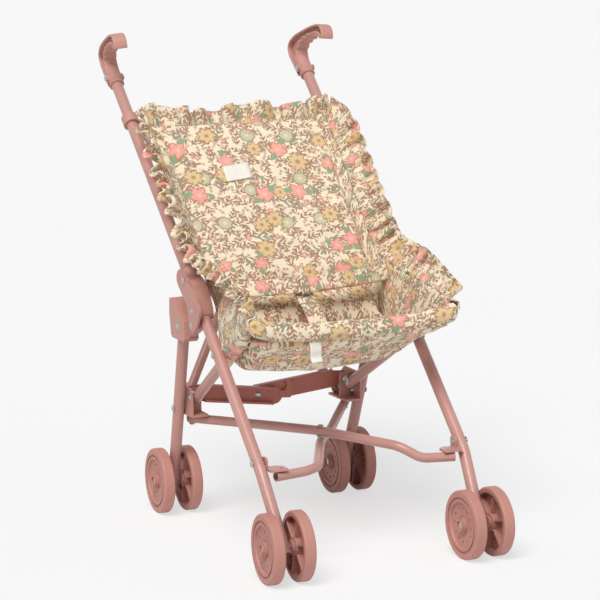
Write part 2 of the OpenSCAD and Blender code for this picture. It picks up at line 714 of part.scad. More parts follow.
// ---- Soft goods, plain ----

// Height of the seat rail's middle line at depth y from the rear axle
function rail_height(y) = at_depth(rail_low, rail_top, y + rear_axle_y)[2];
// Half of the clear width between the rails at depth y from the rear axle
function rail_clear(y) = at_depth(rail_low, rail_top,
    y + rear_axle_y)[0] - rail_d / 2 - head_seat - head_h - gap;
// An outline in depth and height from the rear axle, extruded across
module panel(x0, x1, points) {
    slab(x0, x1, [for (p = points) [p[0] + rear_axle_y, p[1]]]);
}

wing_x = seat_w / 2;
wing_t = 3;
wing_top = back_top_z - 4;
// Vertical room between a wing's lower edge and the middle line of its rail
wing_foot = rail_d / 2 + 1.2;
seat_front = rail_top[1] - rear_axle_y - rail_d / 4 - 1 - gap;
// The fold where seat and backrest meet
seat_fold = -172;
fold_height = 206;
back_low = 222;
seat_end = -150;
// Depth of the backrest's front face at height z
function back_depth(z) = seat_fold + (z - fold_height) * back_rake;
back_face = unit([back_rake, 1]);
back_through = [back_face[1], -back_face[0]];
// A point of the backrest at height z, that far behind its front face and that far along it
function on_back(z, behind, up = 0) = [back_depth(z), z] + back_through * behind + back_face * up;

module backrest() color(CREAM) panel(-wing_x + gap, wing_x - gap, [
    on_back(back_low, 0), on_back(back_low, pad_t), on_back(back_top_z, pad_t), on_back(back_top_z, 0)]);

// Padded seat between the rails, with the rolled front edge over the rail ends
module seat_pad() color(CREAM) {
    intersection() {
        panel(-130, 130, [[seat_fold, rail_height(seat_fold)], [seat_front + 1, rail_height(seat_front)],
                          [seat_front + 1, rail_height(seat_front) - pad_t - 3], [seat_fold + pad_t,
                              rail_height(seat_fold) - pad_t - 3],
                          on_back(back_low, pad_t, -gap), on_back(back_low, 0, -gap)]);
        linear_extrude(height = 400) polygon([
            [-rail_clear(seat_end), seat_end + rear_axle_y], [rail_clear(seat_end),
                seat_end + rear_axle_y],
            [rail_clear(seat_front), seat_front + rear_axle_y], [-rail_clear(seat_front),
                seat_front + rear_axle_y]]);
    }
    panel(-hem_half, hem_half, [[seat_front + 1, rail_height(seat_front) + 6], [seat_front - 3,
        rail_height(seat_front) + 8],
                                [seat_front - 3, rail_height(seat_front) - 14], [seat_front + 1,
                                    rail_height(seat_front) - 12]]);
}

module side_wing(s) on_side(s) color(CREAM) panel(wing_x, wing_x + wing_t, [
    [back_depth(back_low), rail_height(back_depth(back_low)) + wing_foot], [seat_front + 4,
        rail_height(seat_front + 4) + wing_foot],
    [seat_front + 8, 278], [-106, 310], [back_depth(wing_top) - 2, wing_top], [back_depth(back_low) - 1,
        back_low]]);

module ruffle(s) on_side(s) color(TAN) panel(wing_x + wing_t + gap, wing_x + wing_t + gap + ruffle_t, [
    [-150, 262], [seat_front + 14, 276], [-125, 322], [36, 458], [46, wing_top], [-100, 305]]);

module ruffle_top() color(TAN) panel(-wing_x + gap, wing_x - gap, [
    on_back(back_top_z, 1, gap), on_back(back_top_z, pad_t - 1, gap), [57, 462], [52, 466]]);

module lap_belt() color(TAN) panel(-wing_x + gap, wing_x - gap, [
    [-152, 262], [-150, 262], [-138, 284], [-140, 284]]);

module crotch_strap() color(TAN) panel(-12, 12, [
    [-226, rail_height(-226) + 1.2], [-223, rail_height(-223) + 1.2], [-154, 260], [-156, 261]]);

// Sewn on the front of the backrest
module woven_label() color("white") panel(-42, -10, [
    on_back(388, -gap), on_back(400, -gap), on_back(400, -gap - 0.8), on_back(388, -gap - 0.8)]);

// Hangs from the front hem
module care_label() color("white") panel(4, 18, [
    [seat_front - 2.2, rail_height(seat_front) - 14.2], [seat_front - 1.4,
        rail_height(seat_front) - 14.2],
    [seat_front - 1.4, rail_height(seat_front) - 36], [seat_front - 2.2, rail_height(seat_front) - 36]]);

// ---- Drawing ----

for (s = SIDES) {
    handle(s);
    push_tube(s);
    elbow_collar(s);
    elbow_link(s);
    leg_socket(s);
    front_leg(s);
    rear_leg(s);
    rear_bracket(s);
    front_strap(s);
    seat_rail(s);
    side_rivets(s);
    brace_ring(s);
    on_side(s) front_hub() color(STEEL) axle();
    on_side(s) rear_hub() color(STEEL) axle();
    on_side(s) front_hub() color(ROSE)
        outer_wheel();
    on_side(s) front_hub() color(ROSE)
        inner_wheel();
    on_side(s) rear_hub() color(ROSE)
        outer_wheel();
    on_side(s) rear_hub() color(ROSE)
        inner_wheel();
    back_brace(s);
    lower_tube(s);
    lock_bar(s);
    side_wing(s);
    ruffle(s);
}
lower_rivet();
lock_rivet(-1);  // lock_rivet_front
lock_rivet(1);  // lock_rivet_back
backrest();
seat_pad();
ruffle_top();
lap_belt();
crotch_strap();
woven_label();
care_label();
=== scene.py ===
"""Looks of a folding doll stroller: rose tube frame, moulded joints and a printed, ruffled sling seat.

Metres, +Z up, the front faces -Y. Left is -X and right is +X. Everything hard keeps its place from the
frame; the soft goods are built here between the seat's own lines.
"""

import json
import logging
import math
from dataclasses import dataclass
from enum import Enum
from typing import Sequence

import bmesh
import bpy
import numpy as np
from mathutils import Matrix, Vector


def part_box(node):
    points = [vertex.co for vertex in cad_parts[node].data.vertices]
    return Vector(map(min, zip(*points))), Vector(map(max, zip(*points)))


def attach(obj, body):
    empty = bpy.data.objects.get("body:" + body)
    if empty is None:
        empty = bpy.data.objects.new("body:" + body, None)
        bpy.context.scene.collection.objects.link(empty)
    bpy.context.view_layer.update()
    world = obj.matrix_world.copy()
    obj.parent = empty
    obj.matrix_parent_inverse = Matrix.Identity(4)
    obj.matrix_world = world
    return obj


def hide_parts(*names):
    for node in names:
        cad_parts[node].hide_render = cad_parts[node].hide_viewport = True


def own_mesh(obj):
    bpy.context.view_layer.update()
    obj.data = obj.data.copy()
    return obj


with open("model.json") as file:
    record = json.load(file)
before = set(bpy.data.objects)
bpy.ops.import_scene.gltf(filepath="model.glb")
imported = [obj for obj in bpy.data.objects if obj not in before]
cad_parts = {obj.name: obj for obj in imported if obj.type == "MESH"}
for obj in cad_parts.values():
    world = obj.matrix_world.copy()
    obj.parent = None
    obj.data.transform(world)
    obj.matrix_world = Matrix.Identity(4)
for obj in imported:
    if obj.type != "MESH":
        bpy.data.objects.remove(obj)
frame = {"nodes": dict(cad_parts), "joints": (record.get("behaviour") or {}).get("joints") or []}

Tree, Node, Socket = bpy.types.NodeTree, bpy.types.Node, bpy.types.NodeSocket
Material, Piece = bpy.types.Material, bpy.types.Object

log = logging.getLogger("doll_stroller")
MM = 0.001
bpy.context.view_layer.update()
CLOTH_UV = "cloth"


class Side(Enum):
    """Side of the stroller, as the sign of X."""

    LEFT = -1
    RIGHT = 1

    @property
    def word(self) -> str:
        """The side's word in node and body names."""
        return self.name.lower()


class Weave(Enum):
    """Kinds of cloth ground, with the thread spacing in metres.

    Real threads are about half as wide; they are drawn as coarse as they need to show.
    """

    COTTON = 0.0007
    TAPE = 0.0011


# ---- Colour and nodes ----


def linear(code: str) -> tuple[float, float, float, float]:
    """Turn an sRGB hex value into linear colour.

    Args:
        code: Colour such as "#c98f88".

    Returns:
        Linear red, green, blue and an alpha of 1.
    """
    parts = [int(code[i : i + 2], 16) / 255 for i in (1, 3, 5)]
    lin = [c / 12.92 if c <= 0.04045 else ((c + 0.055) / 1.055) ** 2.4 for c in parts]
    return lin[0], lin[1], lin[2], 1.0


def add(tree: Tree, kind: str, inputs: dict | Sequence = (), **settings) -> Node:
    """Add one node, with its settings, and link or set its inputs.

    Args:
        tree: Node tree that gets the node.
        kind: Node type.
        inputs: Values or output sockets, by input name or index, or in order.
        settings: Properties of the node.

    Returns:
        The new node.
    """
    made = tree.nodes.new(kind)
    for name, value in settings.items():
        setattr(made, name, value)
    pairs = inputs.items() if isinstance(inputs, dict) else enumerate(inputs)
    for key, value in pairs:
        if value is None:
            continue
        socket = made.inputs[key]
        if isinstance(value, Socket):
            tree.links.new(value, socket)
        else:
            socket.default_value = value
    return made


def new_material(name: str) -> tuple[Material, Tree, Node]:
    """Make a material with only its output and a Principled shader.

    Args:
        name: Name of the material.

    Returns:
        The material, its tree and the shader.
    """
    material = bpy.data.materials.new(name)
    material.use_nodes = True
    tree = material.node_tree
    tree.nodes.clear()
    shader = add(tree, "ShaderNodeBsdfPrincipled")
    add(tree, "ShaderNodeOutputMaterial", [shader.outputs[0]])
    return material, tree, shader


# ---- Finishes ----


@dataclass(frozen=True)
class HardFinish:
    """A painted or moulded finish: two near tones, a fine surface grain and rounded edges."""

    name: str
    tone: str
    shade: str
    roughness: float
    grain_mm: float
    grain_height_mm: float
    edge_mm: float
    metallic: float = 0.0
    patch_mm: float = 45.0

    def make(self) -> Material:
        """Build the material.

        Returns:
            The material.
        """
        material, tree, shader = new_material(self.name)
        place = add(tree, "ShaderNodeTexCoord").outputs["Object"]
        patch = add(tree, "ShaderNodeTexNoise",
                    {"Vector": place, "Scale": 1 / (self.patch_mm * MM), "Detail": 3.0})
        tone = add(tree, "ShaderNodeMix",
                   {0: patch.outputs["Fac"], 6: linear(self.shade), 7: linear(self.tone)},
                   data_type="RGBA")
        tree.links.new(tone.outputs[2], shader.inputs["Base Color"])
        grain = add(tree, "ShaderNodeTexNoise",
                    {"Vector": place, "Scale": 1 / (self.grain_mm * MM), "Detail": 2.0, "Roughness": 0.6})
        rough = add(tree, "ShaderNodeMapRange",
                    {"Value": grain.outputs["Fac"], "To Min": self.roughness - 0.05,
                     "To Max": self.roughness + 0.07})
        tree.links.new(rough.outputs[0], shader.inputs["Roughness"])
        edge = add(tree, "ShaderNodeBevel", {"Radius": self.edge_mm * MM}, samples=4)
        bump = add(tree, "ShaderNodeBump",
                   {"Strength": 0.35, "Distance": self.grain_height_mm * MM, "Height": grain.outputs["Fac"],
                    "Normal": edge.outputs[0]})
        tree.links.new(bump.outputs[0], shader.inputs["Normal"])
        shader.inputs["Metallic"].default_value = self.metallic
        return material


# Powder coat on steel tube: satin, with the faint orange peel that softens its highlights
POWDER_COAT = HardFinish("powder_coated_steel_tube", tone="#c09086", shade="#b5837a", roughness=0.31,
                         grain_mm=1.4, grain_height_mm=0.04, edge_mm=0.3)
# Moulded polypropylene: a little lighter and flatter than the paint, with a spark-eroded grain
MOULDED = HardFinish("moulded_polypropylene", tone="#c28f83", shade="#b88378", roughness=0.5,
                     grain_mm=0.5, grain_height_mm=0.03, edge_mm=0.7)
# The wheels are moulded in a warmer, more matt batch
WHEEL_MOULDED = HardFinish("moulded_wheel_plastic", tone="#bd877b", shade="#b1796d", roughness=0.55,
                           grain_mm=0.6, grain_height_mm=0.04, edge_mm=0.9)
# Pressed plastic of the foot-operated lock bar, a redder batch
LOCK_MOULDED = HardFinish("moulded_lock_bar", tone="#bd7468", shade="#b2695d", roughness=0.45,
                          grain_mm=0.5, grain_height_mm=0.03, edge_mm=0.6)
# Zinc-plated steel rivets: turned heads with a soft grey gleam
PLATED_STEEL = HardFinish("zinc_plated_rivet", tone="#c2c2c0", shade="#a9aaaa", roughness=0.3,
                          grain_mm=0.3, grain_height_mm=0.01, edge_mm=0.2, metallic=0.9)


@dataclass(frozen=True)
class Blossom:
    """Flower motif scattered over the print: a lobed head with a darker rim, streaks and a small heart."""

    cell_mm: float
    radius_mm: float
    petals: int
    lobe: float
    petal: str
    rim: str
    heart: str
    shift: tuple[float, float]
    leaf: str = ""

    def paint(self, tree: Tree, cloth: Socket, under: Socket) -> Socket:
        """Lay the flowers over what is printed so far.

        Args:
            tree: Tree of the material.
            cloth: Place on the cloth in millimetres.
            under: Colour printed so far.

        Returns:
            The colour with the flowers.
        """
        turned, cell = scatter(tree, cloth, self.cell_mm, self.shift)
        xyz = add(tree, "ShaderNodeSeparateXYZ", [turned])
        angle = add(tree, "ShaderNodeMath", [xyz.outputs[1], xyz.outputs[0]], operation="ARCTAN2")
        reach = add(tree, "ShaderNodeVectorMath", [turned], operation="LENGTH")
        size = add(tree, "ShaderNodeMapRange",
                   {"Value": cell.outputs[1], "To Min": self.radius_mm * 0.78,
                    "To Max": self.radius_mm * 1.15})
        colour = under
        if self.leaf:
            colour = self.leaves(tree, under, angle.outputs[0], reach.outputs["Value"], size.outputs[0])
        turns = add(tree, "ShaderNodeMath", [angle.outputs[0], self.petals / 2], operation="MULTIPLY")
        wave = add(tree, "ShaderNodeMath", [turns.outputs[0]], operation="COSINE")
        lobes = add(tree, "ShaderNodeMath", [wave.outputs[0]], operation="ABSOLUTE")
        rim = add(tree, "ShaderNodeMath", [lobes.outputs[0], self.lobe, 1 - self.lobe],
                  operation="MULTIPLY_ADD")
        edge = add(tree, "ShaderNodeMath", [rim.outputs[0], size.outputs[0]], operation="MULTIPLY")
        share = add(tree, "ShaderNodeMath", [reach.outputs["Value"], edge.outputs[0]], operation="DIVIDE")
        streak = add(tree, "ShaderNodeMath", [angle.outputs[0], self.petals * 2.0], operation="MULTIPLY")
        ray = add(tree, "ShaderNodeMath", [streak.outputs[0]], operation="SINE")
        tint = add(tree, "ShaderNodeMath", [ray.outputs[0], 0.07, share.outputs[0]], operation="MULTIPLY_ADD")
        ramp = add(tree, "ShaderNodeValToRGB", [tint.outputs[0]])
        stops = ramp.color_ramp.elements
        stops[0].position, stops[0].color = 0.16, linear(self.heart)
        stops[1].position, stops[1].color = 0.3, linear(self.petal)
        for position, code in ((0.78, self.petal), (0.92, self.rim)):
            stops.new(position).color = linear(code)
        mask = add(tree, "ShaderNodeMapRange",
                   {"Value": share.outputs[0], "From Min": 1.04, "From Max": 0.98})
        mixed = add(tree, "ShaderNodeMix", {0: mask.outputs[0], 6: colour, 7: ramp.outputs[0]},
                    data_type="RGBA")
        return mixed.outputs[2]

    def leaves(self, tree: Tree, under: Socket, angle: Socket, reach: Socket, size: Socket) -> Socket:
        """Lay two opposite pointed leaves, which the flower's head then covers in their middle.

        Args:
            tree: Tree of the material.
            under: Colour printed so far.
            angle: Angle about the motif's middle.
            reach: Distance from the motif's middle in millimetres.
            size: Radius of the flower in millimetres.

        Returns:
            The colour with the leaves.
        """
        pair = add(tree, "ShaderNodeMath", [angle, 0.5], operation="ADD")
        spread = add(tree, "ShaderNodeMath", [pair.outputs[0]], operation="COSINE")
        tip = add(tree, "ShaderNodeMath", [spread.outputs[0], 6.0], operation="POWER")
        share = add(tree, "ShaderNodeMath", [tip.outputs[0], 1.5], operation="MULTIPLY")
        edge = add(tree, "ShaderNodeMath", [share.outputs[0], size], operation="MULTIPLY")
        inside = add(tree, "ShaderNodeMath", [edge.outputs[0], reach], operation="SUBTRACT")
        mask = add(tree, "ShaderNodeMapRange", {"Value": inside.outputs[0], "From Min": 0.0, "From Max": 0.4})
        mixed = add(tree, "ShaderNodeMix", {0: mask.outputs[0], 6: under, 7: linear(self.leaf)},
                    data_type="RGBA")
        return mixed.outputs[2]


@dataclass(frozen=True)
class Sprig:
    """Leafy twig motif: slanted leaflets in pairs along a thin stem."""

    cell_mm: float
    length_mm: float
    spread_mm: float
    pitch_mm: float
    colour: str
    shift: tuple[float, float]

    def paint(self, tree: Tree, cloth: Socket, under: Socket) -> Socket:
        """Lay the twigs over what is printed so far.

        Args:
            tree: Tree of the material.
            cloth: Place on the cloth in millimetres.
            under: Colour printed so far.

        Returns:
            The colour with the twigs.
        """
        turned, _ = scatter(tree, cloth, self.cell_mm, self.shift)
        xyz = add(tree, "ShaderNodeSeparateXYZ", [turned])
        off = add(tree, "ShaderNodeMath", [xyz.outputs[1]], operation="ABSOLUTE")
        slant = add(tree, "ShaderNodeMath", [off.outputs[0], -1.1, xyz.outputs[0]], operation="MULTIPLY_ADD")
        turns = add(tree, "ShaderNodeMath", [slant.outputs[0], 2 * math.pi / self.pitch_mm],
                    operation="MULTIPLY")
        leaflet = add(tree, "ShaderNodeMath", [turns.outputs[0]], operation="COSINE")
        along = add(tree, "ShaderNodeMath", [xyz.outputs[0], 1 / self.length_mm], operation="MULTIPLY")
        end = add(tree, "ShaderNodeMath", [along.outputs[0], along.outputs[0]], operation="MULTIPLY")
        room = add(tree, "ShaderNodeMath", [end.outputs[0], -self.spread_mm, self.spread_mm],
                   operation="MULTIPLY_ADD")
        within = add(tree, "ShaderNodeMath", [room.outputs[0], off.outputs[0]], operation="SUBTRACT")
        near = add(tree, "ShaderNodeMapRange", {"Value": within.outputs[0], "From Min": 0.0, "From Max": 0.5})
        shape = add(tree, "ShaderNodeMapRange",
                    {"Value": leaflet.outputs[0], "From Min": -0.05, "From Max": 0.25})
        leaves = add(tree, "ShaderNodeMath", [near.outputs[0], shape.outputs[0]], operation="MULTIPLY")
        stem = add(tree, "ShaderNodeMapRange", {"Value": off.outputs[0], "From Min": 0.55, "From Max": 0.3})
        inside = add(tree, "ShaderNodeMapRange",
                     {"Value": end.outputs[0], "From Min": 1.05, "From Max": 0.95})
        line = add(tree, "ShaderNodeMath", [stem.outputs[0], inside.outputs[0]], operation="MULTIPLY")
        mask = add(tree, "ShaderNodeMath", [leaves.outputs[0], line.outputs[0]], operation="MAXIMUM")
        mixed = add(tree, "ShaderNodeMix", {0: mask.outputs[0], 6: under, 7: linear(self.colour)},
                    data_type="RGBA")
        return mixed.outputs[2]


def scatter(tree: Tree, cloth: Socket, cell_mm: float, shift: tuple[float, float]) -> tuple[Socket, Node]:
    """Give each point its place relative to the nearest motif, turned by that motif's own angle.

    Args:
        tree: Tree of the material.
        cloth: Place on the cloth in millimetres.
        cell_mm: Mean distance between motifs.
        shift: Shift of this scatter against the others, in millimetres.

    Returns:
        The turned place in millimetres and the node with the motif's random numbers.
    """
    moved = add(tree, "ShaderNodeVectorMath", [cloth, (shift[0], shift[1], 0.0)], operation="ADD")
    cells = add(tree, "ShaderNodeTexVoronoi",
                {"Vector": moved.outputs[0], "Scale": 1 / cell_mm, "Randomness": 0.8},
                voronoi_dimensions="2D")
    local = add(tree, "ShaderNodeVectorMath", [moved.outputs[0], cells.outputs["Position"]],
                operation="SUBTRACT")
    numbers = add(tree, "ShaderNodeSeparateColor", [cells.outputs["Color"]])
    angle = add(tree, "ShaderNodeMath", [numbers.outputs[0], 2 * math.pi], operation="MULTIPLY")
    turned = add(tree, "ShaderNodeVectorRotate", {"Vector": local.outputs[0], "Angle": angle.outputs[0]},
                 rotation_type="Z_AXIS")
    return turned.outputs[0], numbers


@dataclass(frozen=True)
class PrintedCotton:
    """Plain-woven cotton with a dense floral print, its motifs in millimetres on the cloth's own UV map."""

    name: str = "printed_cotton_poplin"
    ground: str = "#f0e2c6"
    ground_shade: str = "#e8d7ba"
    mottle_mm: float = 18.0
    wander_mm: float = 6.0
    wander_reach_mm: float = 1.6
    # A Sprig has cell, length, spread, leaf pitch, colour and shift; a Blossom has cell, radius, petals,
    # depth of the lobes, colours of petal, rim and heart, shift and, where it has leaves, their colour
    motifs: tuple = (
        Sprig(10.0, 4.9, 2.6, 4.0, "#b5947c", (0.0, 0.0)),
        Sprig(17.0, 9.0, 4.2, 5.6, "#9f7c66", (31.0, 17.0)),
        Sprig(22.0, 11.5, 5.2, 6.4, "#a9856e", (7.0, 53.0)),
        Sprig(44.0, 12.0, 6.4, 7.6, "#95927a", (71.0, 23.0)),
        Blossom(58.0, 9.0, 9, 0.16, "#c9c1a0", "#8d886c", "#e0d7b2", (13.0, 88.0)),
        Blossom(56.0, 12.0, 7, 0.36, "#dcbd8f", "#a07c50", "#b18a58", (97.0, 5.0)),
        Blossom(60.0, 11.5, 5, 0.42, "#e8a595", "#c48072", "#efbfa6", (41.0, 61.0), "#84a886"),
        Blossom(36.0, 3.8, 5, 0.45, "#dba190", "#b97c6e", "#efe0b6", (3.0, 33.0)),
    )

    def make(self) -> Material:
        """Build the material.

        Returns:
            The material.
        """
        material, tree, shader = new_material(self.name)
        cloth = add(tree, "ShaderNodeUVMap", uv_map=CLOTH_UV)
        place = add(tree, "ShaderNodeVectorMath", {0: cloth.outputs[0], 3: 1 / MM}, operation="SCALE")
        mottled = add(tree, "ShaderNodeTexNoise",
                      {"Vector": place.outputs[0], "Scale": 1 / self.mottle_mm, "Detail": 2.0})
        base = add(tree, "ShaderNodeMix",
                   {0: mottled.outputs["Fac"], 6: linear(self.ground_shade), 7: linear(self.ground)},
                   data_type="RGBA")
        colour = base.outputs[2]
        wander = add(tree, "ShaderNodeTexNoise",
                     {"Vector": place.outputs[0], "Scale": 1 / self.wander_mm, "Detail": 1.0})
        reach = (self.wander_reach_mm, self.wander_reach_mm, 0.0)
        drift = add(tree, "ShaderNodeVectorMath", [wander.outputs["Color"], reach, place.outputs[0]],
                    operation="MULTIPLY_ADD")
        for motif in self.motifs:
            colour = motif.paint(tree, drift.outputs[0], colour)
        tree.links.new(colour, shader.inputs["Base Color"])
        shader.inputs["Roughness"].default_value = 0.85
        shader.inputs["Sheen Weight"].default_value = 0.12
        shader.inputs["Sheen Roughness"].default_value = 0.5
        woven_bump(tree, shader, cloth.outputs[0], Weave.COTTON)
        return material


@dataclass(frozen=True)
class LabelTape:
    """Damask-woven label tape: bare off-white satin with fine ribs."""

    name: str = "woven_label_tape"
    tone: str = "#eee9df"
    shade: str = "#e2dccf"

    def make(self) -> Material:
        """Build the material.

        Returns:
            The material.
        """
        material, tree, shader = new_material(self.name)
        cloth = add(tree, "ShaderNodeUVMap", uv_map=CLOTH_UV)
        # A rib at about every other thread
        ribs = add(tree, "ShaderNodeTexWave",
                   {"Vector": cloth.outputs[0], "Scale": 1 / (6.3 * Weave.TAPE.value)},
                   bands_direction="Y")
        tone = add(tree, "ShaderNodeMix",
                   {0: ribs.outputs["Fac"], 6: linear(self.shade), 7: linear(self.tone)},
                   data_type="RGBA")
        tree.links.new(tone.outputs[2], shader.inputs["Base Color"])
        shader.inputs["Roughness"].default_value = 0.55
        shader.inputs["Sheen Weight"].default_value = 0.2
        woven_bump(tree, shader, cloth.outputs[0], Weave.TAPE)
        return material


def woven_bump(tree: Tree, shader: Node, cloth: Socket, weave: Weave) -> None:
    """Raise warp and weft threads and small creases on a cloth.

    Args:
        tree: Tree of the material.
        shader: Shader that gets the normal.
        cloth: Place on the cloth in metres.
        weave: Ground whose thread spacing is drawn.
    """
    crease_pitch = 0.014
    # Wave Texture repeats about every 2 pi / 20 of its scaled coordinate
    scale = math.pi / (10 * weave.value)
    warp = add(tree, "ShaderNodeTexWave", {"Vector": cloth, "Scale": scale}, bands_direction="X")
    weft = add(tree, "ShaderNodeTexWave", {"Vector": cloth, "Scale": scale}, bands_direction="Y")
    threads = add(tree, "ShaderNodeMath", [warp.outputs["Fac"], weft.outputs["Fac"]], operation="MULTIPLY")
    crease = add(tree, "ShaderNodeTexNoise", {"Vector": cloth, "Scale": 1 / crease_pitch, "Detail": 3.0,
                                              "Roughness": 0.45, "Distortion": 0.6})
    soft = add(tree, "ShaderNodeBump", {"Strength": 0.45, "Distance": 0.004, "Height": crease.outputs["Fac"]})
    fine = add(tree, "ShaderNodeBump", {"Strength": 0.25, "Distance": 0.0003, "Height": threads.outputs[0],
                                        "Normal": soft.outputs[0]})
    tree.links.new(fine.outputs[0], shader.inputs["Normal"])


@dataclass(frozen=True)
class Thread:
    """Spun polyester sewing thread: a tight, slightly glossy strand."""

    name: str = "spun_polyester_thread"
    tone: str = "#efe6cf"
    shade: str = "#dccfb0"

    def make(self) -> Material:
        """Build the material.

        Returns:
            The material.
        """
        material, tree, shader = new_material(self.name)
        place = add(tree, "ShaderNodeTexCoord").outputs["Object"]
        ply = add(tree, "ShaderNodeTexNoise", {"Vector": place, "Scale": 1 / (0.5 * MM), "Detail": 1.0})
        tone = add(tree, "ShaderNodeMix",
                   {0: ply.outputs["Fac"], 6: linear(self.shade), 7: linear(self.tone)},
                   data_type="RGBA")
        tree.links.new(tone.outputs[2], shader.inputs["Base Color"])
        shader.inputs["Roughness"].default_value = 0.5
        bump = add(tree, "ShaderNodeBump",
                   {"Strength": 0.3, "Distance": 0.0001, "Height": ply.outputs["Fac"]})
        tree.links.new(bump.outputs[0], shader.inputs["Normal"])
        return material


# ---- Mesh helpers ----


def smooth_path(points: Sequence[Sequence[float]], count: int) -> np.ndarray:
    """Sample a smooth curve through points at even parameter steps.

    Args:
        points: Control points.
        count: Number of samples.

    Returns:
        Array of count points.
    """
    p = np.array(points, float)
    p = np.vstack([2 * p[0] - p[1], p, 2 * p[-1] - p[-2]])
    places = np.linspace(0, len(points) - 1, count)
    index = np.minimum(places.astype(int), len(points) - 2)
    t = (places - index)[:, None]
    a, b, c, d = (p[index + k] for k in range(4))
    return 0.5 * (2 * b + (c - a) * t + (2 * a - 5 * b + 4 * c - d) * t**2 + (3 * b - a - 3 * c + d) * t**3)


def run_length(points: np.ndarray) -> np.ndarray:
    """Distance along a path at each of its points."""
    return np.concatenate([[0], np.cumsum(np.linalg.norm(np.diff(points, axis=0), axis=1))])


def tangents(points: np.ndarray) -> np.ndarray:
    """Unit direction of a path at each of its points."""
    step = np.gradient(points, axis=0)
    return step / np.linalg.norm(step, axis=1, keepdims=True)


def read_points(piece: Piece) -> np.ndarray:
    """Vertices of a piece as an array.

    Args:
        piece: The piece.

    Returns:
        One row per vertex.
    """
    flat = np.empty(len(piece.data.vertices) * 3, np.float32)
    piece.data.vertices.foreach_get("co", flat)
    return flat.reshape(-1, 3).astype(float)


def write_points(piece: Piece, points: np.ndarray) -> None:
    """Move the vertices of a piece to the rows of an array."""
    piece.data.vertices.foreach_set("co", points.astype(np.float32).ravel())


def shade_smooth(piece: Piece) -> None:
    """Shade a piece's faces as one smooth surface."""
    piece.data.polygons.foreach_set("use_smooth", [True] * len(piece.data.polygons))


def mesh_piece(name: str, points: np.ndarray, faces: Sequence, cloth: np.ndarray | None = None) -> Piece:
    """Make a mesh object, with its place on the cloth as a UV map.

    Args:
        name: Name of the piece.
        points: Vertices.
        faces: Faces as index tuples.
        cloth: Place on the cloth of each vertex, in metres.

    Returns:
        The object, linked to the scene.
    """
    mesh = bpy.data.meshes.new(name)
    mesh.from_pydata([tuple(p) for p in points.tolist()], [], [tuple(f) for f in faces])
    mesh.polygons.foreach_set("use_smooth", [True] * len(mesh.polygons))
    if cloth is not None:
        lay_cloth(mesh, cloth)
    mesh.update()
    piece = bpy.data.objects.new(name, mesh)
    bpy.context.scene.collection.objects.link(piece)
    return piece


def lay_cloth(mesh: bpy.types.Mesh, cloth: np.ndarray) -> None:
    """Write the place on the cloth of each vertex to the mesh's UV map.

    Args:
        mesh: Mesh that gets the map.
        cloth: One row per vertex, in metres.
    """
    layer = mesh.uv_layers.get(CLOTH_UV) or mesh.uv_layers.new(name=CLOTH_UV)
    corners = np.empty(len(mesh.loops), np.int32)
    mesh.loops.foreach_get("vertex_index", corners)
    layer.data.foreach_set("uv", cloth[corners].astype(np.float32).ravel())


def grid_faces(rows: int, columns: int, closed: bool = False) -> list[tuple[int, int, int, int]]:
    """Faces of a grid whose points run row by row.

    Args:
        rows: Number of rows.
        columns: Points in a row.
        closed: Whether each row closes on itself.

    Returns:
        Quads as index tuples.
    """
    across = columns if closed else columns - 1
    return [(i * columns + j, i * columns + (j + 1) % columns, (i + 1) * columns + (j + 1) % columns,
             (i + 1) * columns + j) for i in range(rows - 1) for j in range(across)]


def with_modifiers(piece: Piece) -> Piece:
    """Turn a piece's modifiers into its mesh and take them off.

    Args:
        piece: The piece.

    Returns:
        The same piece.
    """
    bpy.context.view_layer.update()
    graph = bpy.context.evaluated_depsgraph_get()
    mesh = bpy.data.meshes.new_from_object(piece.evaluated_get(graph))
    piece.modifiers.clear()
    piece.data = mesh
    return piece


def thicken(piece: Piece, thickness: float) -> Piece:
    """Give a sheet its thickness.

    Args:
        piece: The sheet.
        thickness: Thickness of the cloth in metres.

    Returns:
        The same piece.
    """
    solid = piece.modifiers.new("wall", "SOLIDIFY")
    solid.thickness = thickness
    solid.offset = 0.0
    with_modifiers(piece)
    shade_smooth(piece)
    return piece


def outwards(piece: Piece) -> Piece:
    """Weld a closed shell and point its faces outwards.

    Args:
        piece: The piece.

    Returns:
        The same piece.
    """
    work = bmesh.new()
    work.from_mesh(piece.data)
    bmesh.ops.remove_doubles(work, verts=work.verts, dist=0.00002)
    bmesh.ops.recalc_face_normals(work, faces=work.faces)
    work.to_mesh(piece.data)
    work.free()
    return piece


def dress(piece: Piece, material: Material) -> Piece:
    """Give a piece one material.

    Args:
        piece: The piece.
        material: Its material.

    Returns:
        The same piece.
    """
    piece.data.materials.clear()
    piece.data.materials.append(material)
    return piece


def surface_area(mesh: bpy.types.Mesh) -> float:
    """Area of all faces in square metres."""
    return sum(p.area for p in mesh.polygons)


# ---- Stitches ----


